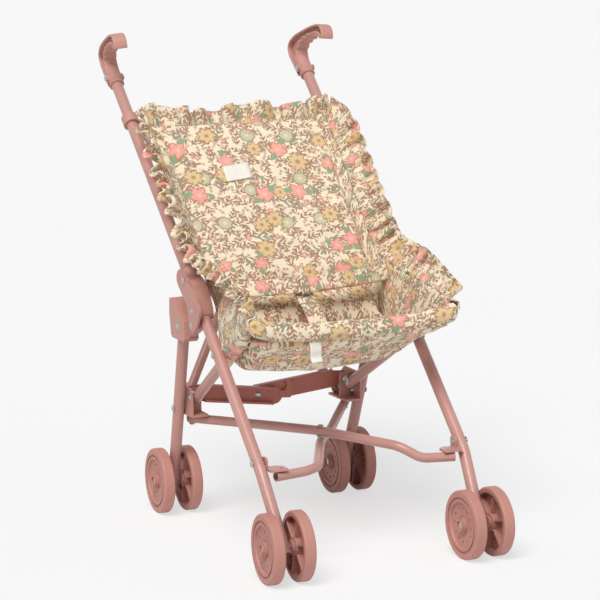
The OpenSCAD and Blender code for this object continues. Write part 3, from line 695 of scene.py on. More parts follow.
def stitch_tree(material: Material) -> Tree:
    """Geometry tree that sews short stitches along a path.

    Args:
        material: Thread.

    Returns:
        The tree, with inputs for pitch, length and thickness.
    """
    tree = bpy.data.node_groups.new("stitch_row", "GeometryNodeTree")
    face = tree.interface
    face.new_socket("Geometry", in_out="INPUT", socket_type="NodeSocketGeometry")
    for name, value in (("Pitch", 0.0034), ("Length", 0.0022), ("Thickness", 0.0003)):
        face.new_socket(name, in_out="INPUT", socket_type="NodeSocketFloat").default_value = value
    face.new_socket("Geometry", in_out="OUTPUT", socket_type="NodeSocketGeometry")
    source = add(tree, "NodeGroupInput")
    line = add(tree, "GeometryNodeMeshToCurve", [source.outputs["Geometry"]])
    spots = add(tree, "GeometryNodeCurveToPoints",
                {"Curve": line.outputs[0], "Length": source.outputs["Pitch"]}, mode="LENGTH")
    body = add(tree, "GeometryNodeMeshCylinder", {"Vertices": 6, "Radius": source.outputs["Thickness"],
                                                  "Depth": source.outputs["Length"]})
    placed = add(tree, "GeometryNodeInstanceOnPoints", {"Points": spots.outputs["Points"],
                                                        "Instance": body.outputs["Mesh"],
                                                        "Rotation": spots.outputs["Rotation"]})
    real = add(tree, "GeometryNodeRealizeInstances", [placed.outputs[0]])
    dressed = add(tree, "GeometryNodeSetMaterial", {"Geometry": real.outputs[0], "Material": material})
    add(tree, "NodeGroupOutput", [dressed.outputs[0]])
    return tree


def stitch_row(name: str, path: np.ndarray, material: Material) -> Piece:
    """Sew a row of stitches along a path.

    Args:
        name: Name of the piece.
        path: Points of the seam.
        material: Thread.

    Returns:
        The stitches as one plain mesh.
    """
    mesh = bpy.data.meshes.new(name)
    mesh.from_pydata([tuple(p) for p in path.tolist()], [(i, i + 1) for i in range(len(path) - 1)], [])
    piece = bpy.data.objects.new(name, mesh)
    bpy.context.scene.collection.objects.link(piece)
    sewing = piece.modifiers.new("sew", "NODES")
    sewing.node_group = stitch_tree(material)
    with_modifiers(piece)
    shade_smooth(piece)
    return piece


# ---- Soft goods ----


@dataclass(frozen=True)
class SeatLines:
    """Lines of the sling seat in the YZ plane, in metres, set to lie between the frame's tubes."""

    back_rake: float = 0.9
    fold_y: float = -0.0745
    fold_z: float = 0.206
    top_z: float = 0.444
    half_width: float = 0.1005
    front_y: float = -0.1805
    front_z: float = 0.266
    rail_slope: float = -0.5456

    def back_y(self, z: float) -> float:
        """Depth of the backrest's front face at a height."""
        return self.fold_y + (z - self.fold_z) * self.back_rake

    def rail_z(self, y: float) -> float:
        """Height of the seat rails' middle line at a depth."""
        return self.front_z + (y - self.front_y) * self.rail_slope

    @property
    def along_back(self) -> np.ndarray:
        """Unit vector up the backrest."""
        v = np.array([0.0, self.back_rake, 1.0])
        return v / np.linalg.norm(v)

    @property
    def out_of_back(self) -> np.ndarray:
        """Unit vector out of the backrest's front face."""
        up = self.along_back
        return np.array([0.0, -up[2], up[1]])


@dataclass
class Sewing:
    """What the soft pieces share: finishes, wrinkles, and how pads, gathered strips and straps are made."""

    body: str = "left_side"
    gather_span: float = 0.212
    cloth_thick: float = 0.0012
    double_cloth: float = 1.3
    voxel: float = 0.0045
    puff_frames: int = 20
    seed: int = 7

    def __post_init__(self) -> None:
        """Make the finishes and read the fold's travel."""
        self.cotton = PrintedCotton().make()
        self.tape = LabelTape().make()
        self.thread = Thread().make()
        fold = next(j for j in frame["joints"] if j["name"] == "fold_width")
        self.travel = max(fold["range_m"])
        self.random = np.random.default_rng(self.seed)

    def settle(self, piece: Piece, material: Material, slot: str, *nodes: str) -> Piece:
        """Dress a soft piece, let it ride, and hide the plain solids that it stands for.

        Args:
            piece: The piece.
            material: Its material.
            slot: The record's material slot; not used.
            nodes: Plain solids that it stands for.

        Returns:
            The same piece.
        """
        dress(piece, material)
        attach(piece, self.body)
        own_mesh(piece)
        if nodes:
            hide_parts(*nodes)
        log.info("soft piece %s: %d faces", piece.name, len(piece.data.polygons))
        return piece

    def wrinkle(self, along: np.ndarray, across: np.ndarray, height: float, wave: float) -> np.ndarray:
        """Uneven soft folds as a height over a cloth.

        Args:
            along: Distance along the cloth.
            across: Distance across it.
            height: Height of the folds.
            wave: Mean distance between folds.

        Returns:
            Height at each point.
        """
        waves = 5
        total = np.zeros_like(along)
        for k in range(waves):
            angle = self.random.uniform(-0.9, 0.9)
            length = wave * self.random.uniform(0.6, 1.9)
            phase = self.random.uniform(0, 2 * math.pi)
            course = along * math.cos(angle) + across * math.sin(angle)
            total += np.sin(2 * math.pi * course / length + phase + 1.3 * np.sin(across / wave + k))
        return total * height / waves

    def pillow(self, name: str, centre: np.ndarray, normal: np.ndarray, half: np.ndarray, thick: float,
               columns: int = 49) -> Piece:
        """Closed pad around a centre line, crowned in the middle and pinched to a seam all round.

        Args:
            name: Name of the pad.
            centre: Points of the centre line.
            normal: Direction out of the pad's front at each point.
            half: Half width at each point.
            thick: Thickness at the crown.
            columns: Points across.

        Returns:
            The pad.
        """
        rows = len(centre)
        u = np.linspace(-1, 1, columns)[None, :, None]
        v = np.linspace(-1, 1, rows)[:, None, None]
        pinch = np.sqrt(np.clip(1 - np.abs(u) ** 8, 0, 1)) * np.sqrt(np.clip(1 - np.abs(v) ** 10, 0, 1))
        crown = pinch * thick / 2
        middle = centre[:, None, :] + u * half[:, None, None] * np.array([1.0, 0, 0])
        front = middle + normal[:, None, :] * crown
        back = middle - normal[:, None, :] * crown
        points = np.vstack([front.reshape(-1, 3), back.reshape(-1, 3)])
        faces = grid_faces(rows, columns)
        other = [tuple(reversed([i + rows * columns for i in f])) for f in faces]
        return outwards(mesh_piece(name, points, faces + other))

    def swell(self, piece: Piece, cap: float) -> Piece:
        """Puff a pad up by cloth simulation with inner pressure, and cap how far each point may move.

        Args:
            piece: Closed pad shell.
            cap: Furthest move in metres.

        Returns:
            The same piece with the result in its mesh.
        """
        remesh = piece.modifiers.new("even", "REMESH")
        remesh.mode = "VOXEL"
        remesh.voxel_size = self.voxel
        with_modifiers(piece)
        rest = read_points(piece)
        self.inflate(piece)
        move = read_points(piece) - rest
        far = np.linalg.norm(move, axis=1, keepdims=True)
        write_points(piece, rest + move * np.minimum(1.0, cap / np.maximum(far, 1e-9)))
        rounder = piece.modifiers.new("round", "SUBSURF")
        rounder.levels = rounder.render_levels = 1
        with_modifiers(piece)
        shade_smooth(piece)
        return piece

    def inflate(self, piece: Piece) -> None:
        """Run the cloth simulation on a closed shell and keep its last frame as the mesh.

        Args:
            piece: The piece.
        """
        cloth = piece.modifiers.new("puff", "CLOTH")
        cloth.settings.quality = 5
        cloth.settings.mass = 0.25
        cloth.settings.use_pressure = True
        cloth.settings.uniform_pressure_force = 4.0
        cloth.settings.effector_weights.gravity = 0.0
        cloth.settings.shrink_min = -0.05
        cloth.settings.bending_stiffness = 0.3
        cloth.collision_settings.use_collision = False
        cloth.point_cache.frame_start = 1
        cloth.point_cache.frame_end = self.puff_frames
        for step in range(1, self.puff_frames + 1):
            bpy.context.scene.frame_set(step)
        with_modifiers(piece)
        bpy.context.scene.frame_set(1)

    def gathered(self, name: str, base: np.ndarray, out: np.ndarray, lift: np.ndarray, wide: np.ndarray,
                 fold: float, depth: float) -> tuple[Piece, float]:
        """Gathered strip: sewn along a base line and waving more and more towards its free edge.

        Args:
            name: Name of the piece.
            base: Points of the seam.
            out: Unit direction of the strip at each point.
            lift: Unit direction of the waves at each point.
            wide: Width of the strip at each point.
            fold: Mean distance between folds.
            depth: Depth of the waves at the free edge.

        Returns:
            The strip and the area of its cloth in square metres.
        """
        columns = 11
        run = run_length(base)
        slow = np.interp(run, np.linspace(0, run[-1], 14), self.random.uniform(-1, 1, 14))
        phase = 2 * math.pi * run / fold + 2.2 * slow
        uneven = 1 + 0.35 * np.interp(run, np.linspace(0, run[-1], 23), self.random.uniform(-1, 1, 23))
        t = np.linspace(0, 1, columns)
        strength = depth * (0.12 + 0.88 * t[None, :] ** 0.8) * uneven[:, None]
        wave = np.sin(phase)[:, None] * strength
        lean = -np.sin(2 * phase)[:, None] * strength * 0.28
        # The double layer rolls over at its free edge
        roll = np.clip((t - 0.8) / 0.2, 0, 1)[None, :] ** 2 * 0.0025
        reach = t[None, :] * wide[:, None] * (1 - 0.05 * np.cos(phase)[:, None])
        points = (base[:, None, :] + out[:, None, :] * reach[..., None]
                  + lift[:, None, :] * (wave - roll)[..., None]
                  + tangents(base)[:, None, :] * lean[..., None])
        edge = run_length(points[:, -1])[:, None]
        cloth = np.stack([edge + 0 * reach, t[None, :] * wide[:, None]], axis=2).reshape(-1, 2)
        piece = mesh_piece(name, points.reshape(-1, 3), grid_faces(len(base), columns), cloth)
        area = surface_area(piece.data)
        return thicken(piece, self.cloth_thick * self.double_cloth), area

    def band(self, name: str, path: np.ndarray, across: np.ndarray, wide: float, thick: float,
             crown: float = 0.0006) -> Piece:
        """Flat sewn strap along a path.

        Args:
            name: Name of the piece.
            path: Points of the strap's middle line.
            across: Unit direction across the strap at each point.
            wide: Width.
            thick: Thickness.
            crown: How far the middle stands over the edges.

        Returns:
            The strap.
        """
        columns = 9
        lift = np.cross(tangents(path), across)
        t = np.linspace(-1, 1, columns)[None, :, None]
        points = path[:, None, :] + across[:, None, :] * t * wide / 2 + lift[:, None, :] * (1 - t**2) * crown
        run = run_length(path)[:, None]
        cloth = np.stack([run + 0 * t[..., 0], t[..., 0] * wide / 2 + 0 * run], axis=2).reshape(-1, 2)
        piece = mesh_piece(name, points.reshape(-1, 3), grid_faces(len(path), columns), cloth)
        return thicken(piece, thick)


@dataclass
class Backrest:
    """Padded backrest, slung between the push tubes, with topstitches inside its seam."""

    sewing: Sewing
    lines: SeatLines
    rows: int = 70
    thick: float = 0.008
    puff: float = 0.006
    middle_behind_face: float = 0.0045
    lower_end: float = 0.014
    upper_end: float = 0.002
    past_tubes: float = 0.008
    lower_taper: float = 0.010
    corner_round: float = 0.006
    bulge: float = 0.013
    bulge_z: float = 0.246
    crease: float = 0.004
    crease_z: float = 0.276
    stitch_inset: float = 0.006
    stitch_lift: float = 0.0052
    cut_at: float = 0.3

    def relief(self, points: np.ndarray, up: np.ndarray) -> np.ndarray:
        """How far the face stands out at each point.

        Args:
            points: Points of the pad.
            up: Distance of each up the backrest.

        Returns:
            Distance out of the backrest.
        """
        x, z = points[:, 0], points[:, 2]
        out = self.sewing.wrinkle(up, x, 0.0016, 0.05)
        edge = np.clip((np.abs(x) - 0.075) / 0.025, 0, 1)
        out += self.sewing.wrinkle(up, x * 3, 0.0022, 0.016) * edge
        # The lower part bulges where it is tucked in, and the lap belt presses a crease above it
        low = np.exp(-((z - self.bulge_z) / 0.017) ** 2)
        crease = np.exp(-((z - self.crease_z - 0.006 * np.cos(x / 0.06)) / 0.0045) ** 2)
        side = np.clip(1 - (x / 0.1) ** 2, 0, 1)
        return out + (self.bulge * low * side - self.crease * crease * side)

    def stitches(self, front: np.ndarray, half: np.ndarray) -> Piece:
        """Row of topstitches just inside the side and top seams.

        Args:
            front: Middle points of the front face.
            half: Half width at each.

        Returns:
            The stitches.
        """
        lift = self.lines.out_of_back * self.stitch_lift
        right = front + np.outer(half - self.stitch_inset, [1, 0, 0]) + lift
        left = front - np.outer(half - self.stitch_inset, [1, 0, 0]) + lift
        top = np.linspace(right[-3], left[-3], 40)
        path = np.vstack([right[4:-3], top, left[4:-3][::-1]])
        piece = stitch_row("backrest_stitches", path, self.sewing.thread)
        return self.sewing.settle(piece, self.sewing.thread, "cloth")

    def build(self) -> None:
        """Build the pad and its stitches."""
        s = self.lines
        z = np.linspace(s.fold_z + self.lower_end, s.top_z + self.upper_end, self.rows)
        share = np.linspace(0, 1, self.rows)
        front = np.stack([0 * z, s.back_y(z), z], axis=1)
        centre = front - s.out_of_back * self.middle_behind_face
        # The lower end tucks in between the rails, and the top corners are rounded
        half = s.half_width + self.past_tubes - self.lower_taper * np.clip(1 - share / 0.25, 0, 1)
        half -= self.corner_round * np.clip((share - 0.95) / 0.05, 0, 1) ** 2
        normal = np.tile(s.out_of_back, (self.rows, 1))
        piece = self.sewing.pillow("backrest_pad", centre, normal, half, self.thick)
        self.sewing.swell(piece, self.puff)
        points = read_points(piece)
        up = points @ s.along_back
        points += self.relief(points, up)[:, None] * s.out_of_back
        write_points(piece, points)
        face = np.sign(points @ s.out_of_back)
        lay_cloth(piece.data, np.stack([points[:, 0] + self.cut_at, up + 0.02 * face], axis=1))
        self.sewing.settle(piece, self.sewing.cotton, "cloth", "backrest")
        self.stitches(front, half)


@dataclass
class Seat:
    """Padded seat slung between the rails, with the rolled hem along its front."""

    sewing: Sewing
    lines: SeatLines
    rows: int = 60
    thick: float = 0.008
    puff: float = 0.005
    front_half: float = 0.1035
    back_taper: float = 0.0105
    front_flare: float = 0.0155
    sag: float = 0.006
    sag_half: float = 0.103
    sag_y: float = -0.085
    cut_at: float = -0.4
    roll_half: float = 0.1215
    roll_high: float = 0.0100
    roll_deep: float = 0.0066
    roll_below_front: float = 0.0180
    end_rise: float = 0.0110
    pucker: float = 0.10
    roll_columns: int = 160
    roll_ring: int = 28

    def pad(self) -> Piece:
        """Padded seat: from the front roll down to the fold and up behind the backrest's lower end.

        Returns:
            The pad.
        """
        s = self.lines
        path = smooth_path([
            (0, s.front_y + 0.003, s.front_z - 0.021), (0, -0.150, s.rail_z(-0.150) - 0.013),
            (0, -0.110, s.rail_z(-0.110) - 0.010), (0, -0.082, s.rail_z(-0.082) - 0.009),
            (0, -0.068, s.fold_z - 0.006), (0, -0.058, s.fold_z + 0.002), (0, -0.050, s.fold_z + 0.014)],
            self.rows)
        step = tangents(path)
        normal = np.stack([0 * step[:, 0], step[:, 2], -step[:, 1]], axis=1)
        share = np.linspace(0, 1, self.rows)
        half = self.front_half - self.back_taper * share + self.front_flare * np.clip(1 - share / 0.45, 0, 1)
        piece = self.sewing.pillow("seat_pad_cover", path, normal, half, self.thick)
        self.sewing.swell(piece, self.puff)
        points = read_points(piece)
        # The sling hangs lower in the middle
        side = np.clip(1 - (points[:, 0] / self.sag_half) ** 2, 0, 1)
        deep = np.exp(-((points[:, 1] - self.sag_y) / 0.06) ** 2)
        points[:, 2] -= self.sag * side * deep
        points[:, 2] += self.sewing.wrinkle(points[:, 1], points[:, 0], 0.0022, 0.03)
        write_points(piece, points)
        lay_cloth(piece.data, np.stack([points[:, 0] + self.cut_at, points[:, 1] + points[:, 2] * 0.4],
                                       axis=1))
        return self.sewing.settle(piece, self.sewing.cotton, "cloth", "seat_pad")

    def front_roll(self) -> Piece:
        """Rolled front edge of the seat, from rail end to rail end.

        Returns:
            The roll.
        """
        s = self.lines
        count, ring, end = self.roll_columns, self.roll_ring, self.roll_half
        x = np.linspace(-end, end, count)
        rise = self.end_rise * (np.abs(x) / end) ** 3.5 - 0.0012 * np.clip(x / end, -1, 1)
        high = self.roll_high + 0.0005 * (np.abs(x) / end) ** 2
        deep = self.roll_deep * np.ones(count)
        close = np.clip((end - np.abs(x)) / 0.006, 0, 1) ** 0.5
        angle = np.linspace(0, 2 * math.pi, ring, endpoint=False)
        gather = np.sin(x / 0.0052 + 2.2 * np.sin(x / 0.021))
        puff = 1 + self.pucker * gather[:, None] * np.cos(angle)[None, :] ** 2
        y = s.front_y - 0.002 + np.cos(angle)[None, :] * (deep * close)[:, None] * puff
        z = (s.front_z - self.roll_below_front + rise)[:, None]
        z = z + np.sin(angle)[None, :] * (high * close)[:, None]
        z += self.sewing.wrinkle(x, 0 * x, 0.0012, 0.03)[:, None]
        points = np.stack([np.broadcast_to(x[:, None], y.shape), y, z], axis=2).reshape(-1, 3)
        faces = grid_faces(count, ring, closed=True)
        faces += [tuple(range(ring)), tuple(reversed(range((count - 1) * ring, count * ring)))]
        around = np.tile(angle * self.roll_high, count)
        cloth = np.stack([points[:, 0] + 0.12, around], axis=1)
        piece = outwards(mesh_piece("front_hem_roll", points, faces, cloth))
        return self.sewing.settle(piece, self.sewing.cotton, "cloth")

    def build(self) -> None:
        """Build the pad and the front roll."""
        self.pad()
        self.front_roll()


@dataclass
class SeatSide:
    """One side of the seat: the wing inside, the cover round the rail outside, and the ruffle between."""

    sewing: Sewing
    lines: SeatLines
    side: Side
    inner_low: tuple = ((0.1060, -0.178, 0.2500), (0.1000, -0.125, 0.2310), (0.0950, -0.074, 0.2080))
    inner_x: float = 0.0960
    inner_heights: tuple[float, ...] = (0.255, 0.311, 0.377, 0.443)
    tuck: float = 0.003
    outer: tuple = ((0.1130, -0.183, 0.2700), (0.1075, -0.128, 0.2810), (0.1030, -0.066, 0.2900),
                    (0.1030, -0.012, 0.3020), (0.1045, 0.032, 0.3400), (0.1075, 0.090, 0.3930),
                    (0.1100, 0.1450, 0.4450))
    belly: float = 0.002
    cover_front_y: float = -0.1835
    cover_back_y: float = -0.0700
    cover_length: float = 0.113
    below_rail: float = 0.0105
    ruffle_wide: float = 0.033
    ruffle_fold: float = 0.0240
    ruffle_depth: float = 0.0074
    top_cut: float = 0.010

    def edges(self, count: int) -> tuple[np.ndarray, np.ndarray]:
        """Inner edge of the wing, on rail and backrest, and its outer edge, where the ruffle is sewn.

        Args:
            count: Samples along each edge.

        Returns:
            Points of the inner and of the outer edge, from the front corner to the top.
        """
        s = self.lines
        inner = [*self.inner_low, *((self.inner_x, s.back_y(z) + self.tuck, z) for z in self.inner_heights)]
        flip = np.array([self.side.value, 1, 1])
        return smooth_path(inner, count) * flip, smooth_path(self.outer, count) * flip

    def wing(self) -> Piece:
        """Side wing between backrest, rail and ruffle.

        Returns:
            The wing.
        """
        rows, columns = 120, 13
        inner, outer = self.edges(rows)
        t = np.linspace(0, 1, columns)[None, :, None]
        points = inner[:, None, :] * (1 - t) + outer[:, None, :] * t
        middle = np.sin(np.pi * t[..., 0])
        run = run_length(outer)[:, None]
        fold = self.sewing.wrinkle(run + 0 * middle, t[..., 0] * 0.03, 0.0020, 0.02)
        points[..., 0] += self.side.value * (fold * middle - self.belly * middle)
        wide = np.linalg.norm(outer - inner, axis=1)[:, None] * t[..., 0]
        cloth = np.stack([wide + 0.05, run + 0 * wide + 0.11 * self.side.value], axis=2).reshape(-1, 2)
        name = f"wing_{self.side.word}"
        piece = mesh_piece(name, points.reshape(-1, 3), grid_faces(rows, columns), cloth)
        thicken(piece, self.sewing.cloth_thick)
        self.sewing.settle(piece, self.sewing.cotton, "cloth", f"side_wing_{self.side.word}")
        return piece

    def cover(self) -> Piece:
        """Outer side of the seat cover: from the ruffle's seam down round the seat rail.

        Returns:
            The cover.
        """
        s = self.lines
        rows, columns = 60, 17
        y = np.linspace(self.cover_front_y, self.cover_back_y, rows)
        places = [self.cover_front_y, -0.128, self.cover_back_y]
        top = np.interp(y, places, [0.2700, 0.2815, 0.2760])
        base = np.interp(y, places, [0.1130, 0.1075, 0.1040])[:, None]
        t = np.linspace(0, 1, columns)[None, :]
        low = s.rail_z(y) - self.below_rail
        z = top[:, None] + (low - top)[:, None] * (1 - (1 - t) ** 1.15)
        # Middle line of the rail in plan; the cloth stands off it, and clears the elbow collar at the back
        rail_x = 0.1138 - 0.0807 * (y + 0.18)
        outer = np.minimum(rail_x + 0.0085, np.interp(y, [-0.11, -0.08], [0.13, 0.1115]))[:, None]
        under = rail_x[:, None] - 0.004
        x = outer - (outer - base) * (1 - np.minimum(t / 0.3, 1)) ** 2
        x -= (outer - under) * np.clip((t - 0.78) / 0.22, 0, 1) ** 2
        run = y[:, None] + 0 * z
        x = x + self.sewing.wrinkle(run, z, 0.0012, 0.022) * np.sin(np.pi * t) ** 0.6
        y_bent = run + 0.004 * (1 - t) * np.clip((y[:, None] + 0.09) / 0.02, 0, 1)
        points = np.stack([self.side.value * x, y_bent, z], axis=2)
        cloth = np.stack([run + 0.6, z + 0.13 * self.side.value], axis=2).reshape(-1, 2)
        name = f"side_cover_{self.side.word}"
        piece = mesh_piece(name, points.reshape(-1, 3), grid_faces(rows, columns), cloth)
        thicken(piece, self.sewing.cloth_thick)
        self.sewing.settle(piece, self.sewing.cotton, "cloth")
        return piece

    def ruffle(self) -> Piece:
        """Ruffle along the wing's outer edge, flaring out over the push tube.

        Returns:
            The ruffle.
        """
        _, base = self.edges(560)
        step = tangents(base)
        outside = np.array([self.side.value, 0, 0])
        ahead = np.cross(step, outside) * self.side.value
        ahead *= np.sign(ahead[:, 2:3] + 1e-9)
        share = np.linspace(0, 1, len(base))[:, None]
        flare = outside * (0.55 + 0.35 * np.sin(np.pi * share)) + ahead * 0.75
        corner = np.clip((share - 0.88) / 0.12, 0, 1)
        flare = flare * (1 - corner) + np.array([self.side.value * 0.35, 0.2, 0.8]) * corner
        flare /= np.linalg.norm(flare, axis=1, keepdims=True)
        # Narrow at the front corner, and a little narrower again where it meets the top ruffle
        run = share[:, 0]
        wide = self.ruffle_wide * (0.55 + 0.45 * np.clip(run / 0.25, 0, 1))
        wide -= self.top_cut * np.clip((run - 0.92) / 0.08, 0, 1)
        name = f"ruffle_strip_{self.side.word}"
        piece, area = self.sewing.gathered(name, base, flare, np.cross(step, flare), wide,
                                           self.ruffle_fold, self.ruffle_depth)
        self.sewing.settle(piece, self.sewing.cotton, "cloth", f"ruffle_{self.side.word}")
        return piece

    def build(self) -> None:
        """Build wing, cover and ruffle."""
        self.wing()
        self.cover()
        self.ruffle()


@dataclass
class TopRuffle:
    """Ruffle along the backrest's top edge, with wide lobes."""

    sewing: Sewing
    lines: SeatLines
    half_width: float = 0.116
    flat_wide: float = 0.027
    wide: float = 0.029
    fold: float = 0.034
    depth: float = 0.0100
    below_top: float = 0.008
    dip: float = 0.004

    def build(self) -> Piece:
        """Build the ruffle.

        Returns:
            The ruffle.
        """
        s = self.lines
        x = np.linspace(-self.half_width, self.half_width, 520)
        dip = self.dip * (1 - (x / self.half_width) ** 2)
        base = np.stack([x, s.back_y(s.top_z) + 0.002 + 0 * x, s.top_z - self.below_top - dip], axis=1)
        out = np.tile(np.array([0, 0.34, 0.94]), (len(x), 1))
        lift = np.tile(np.array([0, -0.94, 0.34]), (len(x), 1))
        wide = self.wide + 0.004 * np.sin(x / 0.017 + 0.8) + 0.001 * (np.abs(x) / self.half_width) ** 3
        piece, area = self.sewing.gathered("ruffle_strip_top", base, out, lift, wide, self.fold, self.depth)
        self.sewing.settle(piece, self.sewing.cotton, "cloth", "ruffle_top")
        return piece


@dataclass
class LapBelt:
    """Belt from wing to wing, with the crotch strap and its small loop round the belt's middle."""

    sewing: Sewing
    lines: SeatLines
    belt_wide: float = 0.0185
    belt_thick: float = 0.0022
    route: tuple = ((-0.1015, -0.044, 0.2765), (-0.060, -0.060, 0.2785), (-0.012, -0.067, 0.2795),
                    (0.040, -0.064, 0.2810), (0.1015, -0.044, 0.2820))
    across: tuple[float, float, float] = (0, 0.537, 0.843)
    out: tuple[float, float, float] = (0, -0.843, 0.537)
    loop_at: tuple[float, float, float] = (-0.010, -0.0671, 0.2796)
    loop_half: tuple[float, float] = (0.0108, 0.0030)
    loop_wide: float = 0.009
    loop_thick: float = 0.0014
    strap_wide: float = 0.021
    strap_thick: float = 0.0024
    strap_drift: float = 0.010

    def loop(self) -> Piece:
        """Small loop round the belt, which holds the crotch strap.

        Returns:
            The loop.
        """
        middle, long, out = Vector(self.loop_at), Vector(self.across), Vector(self.out)
        high, deep = self.loop_half
        ring = np.array([middle + long * (high * math.cos(a)) + out * (deep * math.sin(a))
                         for a in np.linspace(0, 2 * math.pi, 40)])
        across = np.tile([1.0, 0, 0], (len(ring), 1))
        piece = self.sewing.band("belt_loop", ring, across, self.loop_wide, self.loop_thick, 0.0)
        return self.sewing.settle(piece, self.sewing.cotton, "cloth")

    def belt(self) -> Piece:
        """The belt itself, with its loop.

        Returns:
            The belt.
        """
        path = smooth_path(self.route, 90)
        across = np.tile(np.array(self.across), (len(path), 1))
        piece = self.sewing.band("lap_belt_band", path, across, self.belt_wide, self.belt_thick)
        self.sewing.settle(piece, self.sewing.cotton, "cloth", "lap_belt")
        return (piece, self.loop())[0]

    def crotch_strap(self) -> Piece:
        """Strap from the belt's middle down to the seat pad.

        Returns:
            The strap.
        """
        s = self.lines
        count = 40
        path = smooth_path([(0, -0.066, 0.2700), (0, -0.084, 0.2530), (0, -0.104, s.rail_z(-0.104) + 0.008),
                            (0, -0.124, s.rail_z(-0.124) + 0.0045)], count)
        path[:, 0] = -self.strap_drift * np.linspace(1, 0, count)
        across = np.tile([1.0, 0, 0], (count, 1))
        piece = self.sewing.band("crotch_band", path, across, self.strap_wide, self.strap_thick)
        self.sewing.settle(piece, self.sewing.cotton, "cloth", "crotch_strap")
        return piece

    def build(self) -> None:
        """Build belt and strap."""
        self.belt()
        self.crotch_strap()


@dataclass
class Labels:
    """Bare woven label on the backrest and bare care label under the front roll."""

    sewing: Sewing
    lines: SeatLines
    woven_x: float = -0.027
    woven_wide: float = 0.033
    woven_heights: tuple[float, float] = (0.3775, 0.3935)
    over_face: float = 0.0074
    care_wide: float = 0.0135

    def woven(self) -> Piece:
        """Label sewn flat on the backrest.

        Returns:
            The label.
        """
        s = self.lines
        rows = 9
        z = np.linspace(*self.woven_heights, rows)
        path = np.stack([0 * z + self.woven_x, s.back_y(z), z], axis=1) + s.out_of_back * self.over_face
        across = np.tile([0.99, 0.08, 0.09], (rows, 1))
        piece = self.sewing.band("woven_label_tape", path, across, self.woven_wide, 0.0006, 0.0003)
        self.sewing.settle(piece, self.sewing.tape, "label", "woven_label")
        return piece

    def care(self) -> Piece:
        """Label that hangs from the seam under the front roll.

        Returns:
            The label.
        """
        y = self.lines.front_y
        count = 24
        path = smooth_path([(-0.0465, y - 0.0030, 0.2380), (-0.0465, y - 0.0045, 0.2300),
                            (-0.0460, y - 0.0030, 0.2220), (-0.0450, y - 0.0050, 0.2160)], count)
        across = np.tile([1.0, 0.1, 0.05], (count, 1))
        piece = self.sewing.band("care_label_tape", path, across, self.care_wide, 0.0005)
        self.sewing.settle(piece, self.sewing.tape, "label", "care_label")
        return piece

    def build(self) -> None:
        """Build both labels."""
        self.woven()
        self.care()


# ---- Frame ----


@dataclass
class FrameFinish:
    """Finishes of the hard pieces, by the words in their names."""

    painted: tuple[str, ...] = ("push_tube", "front_leg", "rear_leg", "seat_rail", "back_brace", "lower_tube",
                                "front_strap")
    steel: tuple[str, ...] = ("rivet", "axle")
    soft: tuple[str, ...] = ("backrest", "seat_pad", "side_wing", "ruffle", "lap_belt", "crotch",
                             "woven_label", "care_label")

    def __post_init__(self) -> None:
        """Make the finishes once, for the CAD pieces and for the handles and catch built here."""
        self.paint = POWDER_COAT.make()
        self.moulded = MOULDED.make()
        self.wheel = WHEEL_MOULDED.make()
        self.lock = LOCK_MOULDED.make()
        self.plated = PLATED_STEEL.make()

    def finish_of(self, name: str) -> Material:
        """Choose a hard piece's finish.

        Args:
            name: Name of the piece.

        Returns:
            Its material.
        """
        if any(word in name for word in self.steel):
            return self.plated
        if name.startswith(self.painted):
            return self.paint
        if "wheel" in name:
            return self.wheel
        if name.startswith("lock_bar"):
            return self.lock
        return self.moulded

    def dress(self) -> None:
        """Give each hard piece its finish."""
        for name, piece in frame["nodes"].items():
            if name.startswith(self.soft):
                continue
            material = self.finish_of(name)
            for slot in piece.material_slots:
                slot.material = material
            if not piece.material_slots:
                piece.data.materials.append(material)
            log.info("hard piece %s: %s", name, material.name)


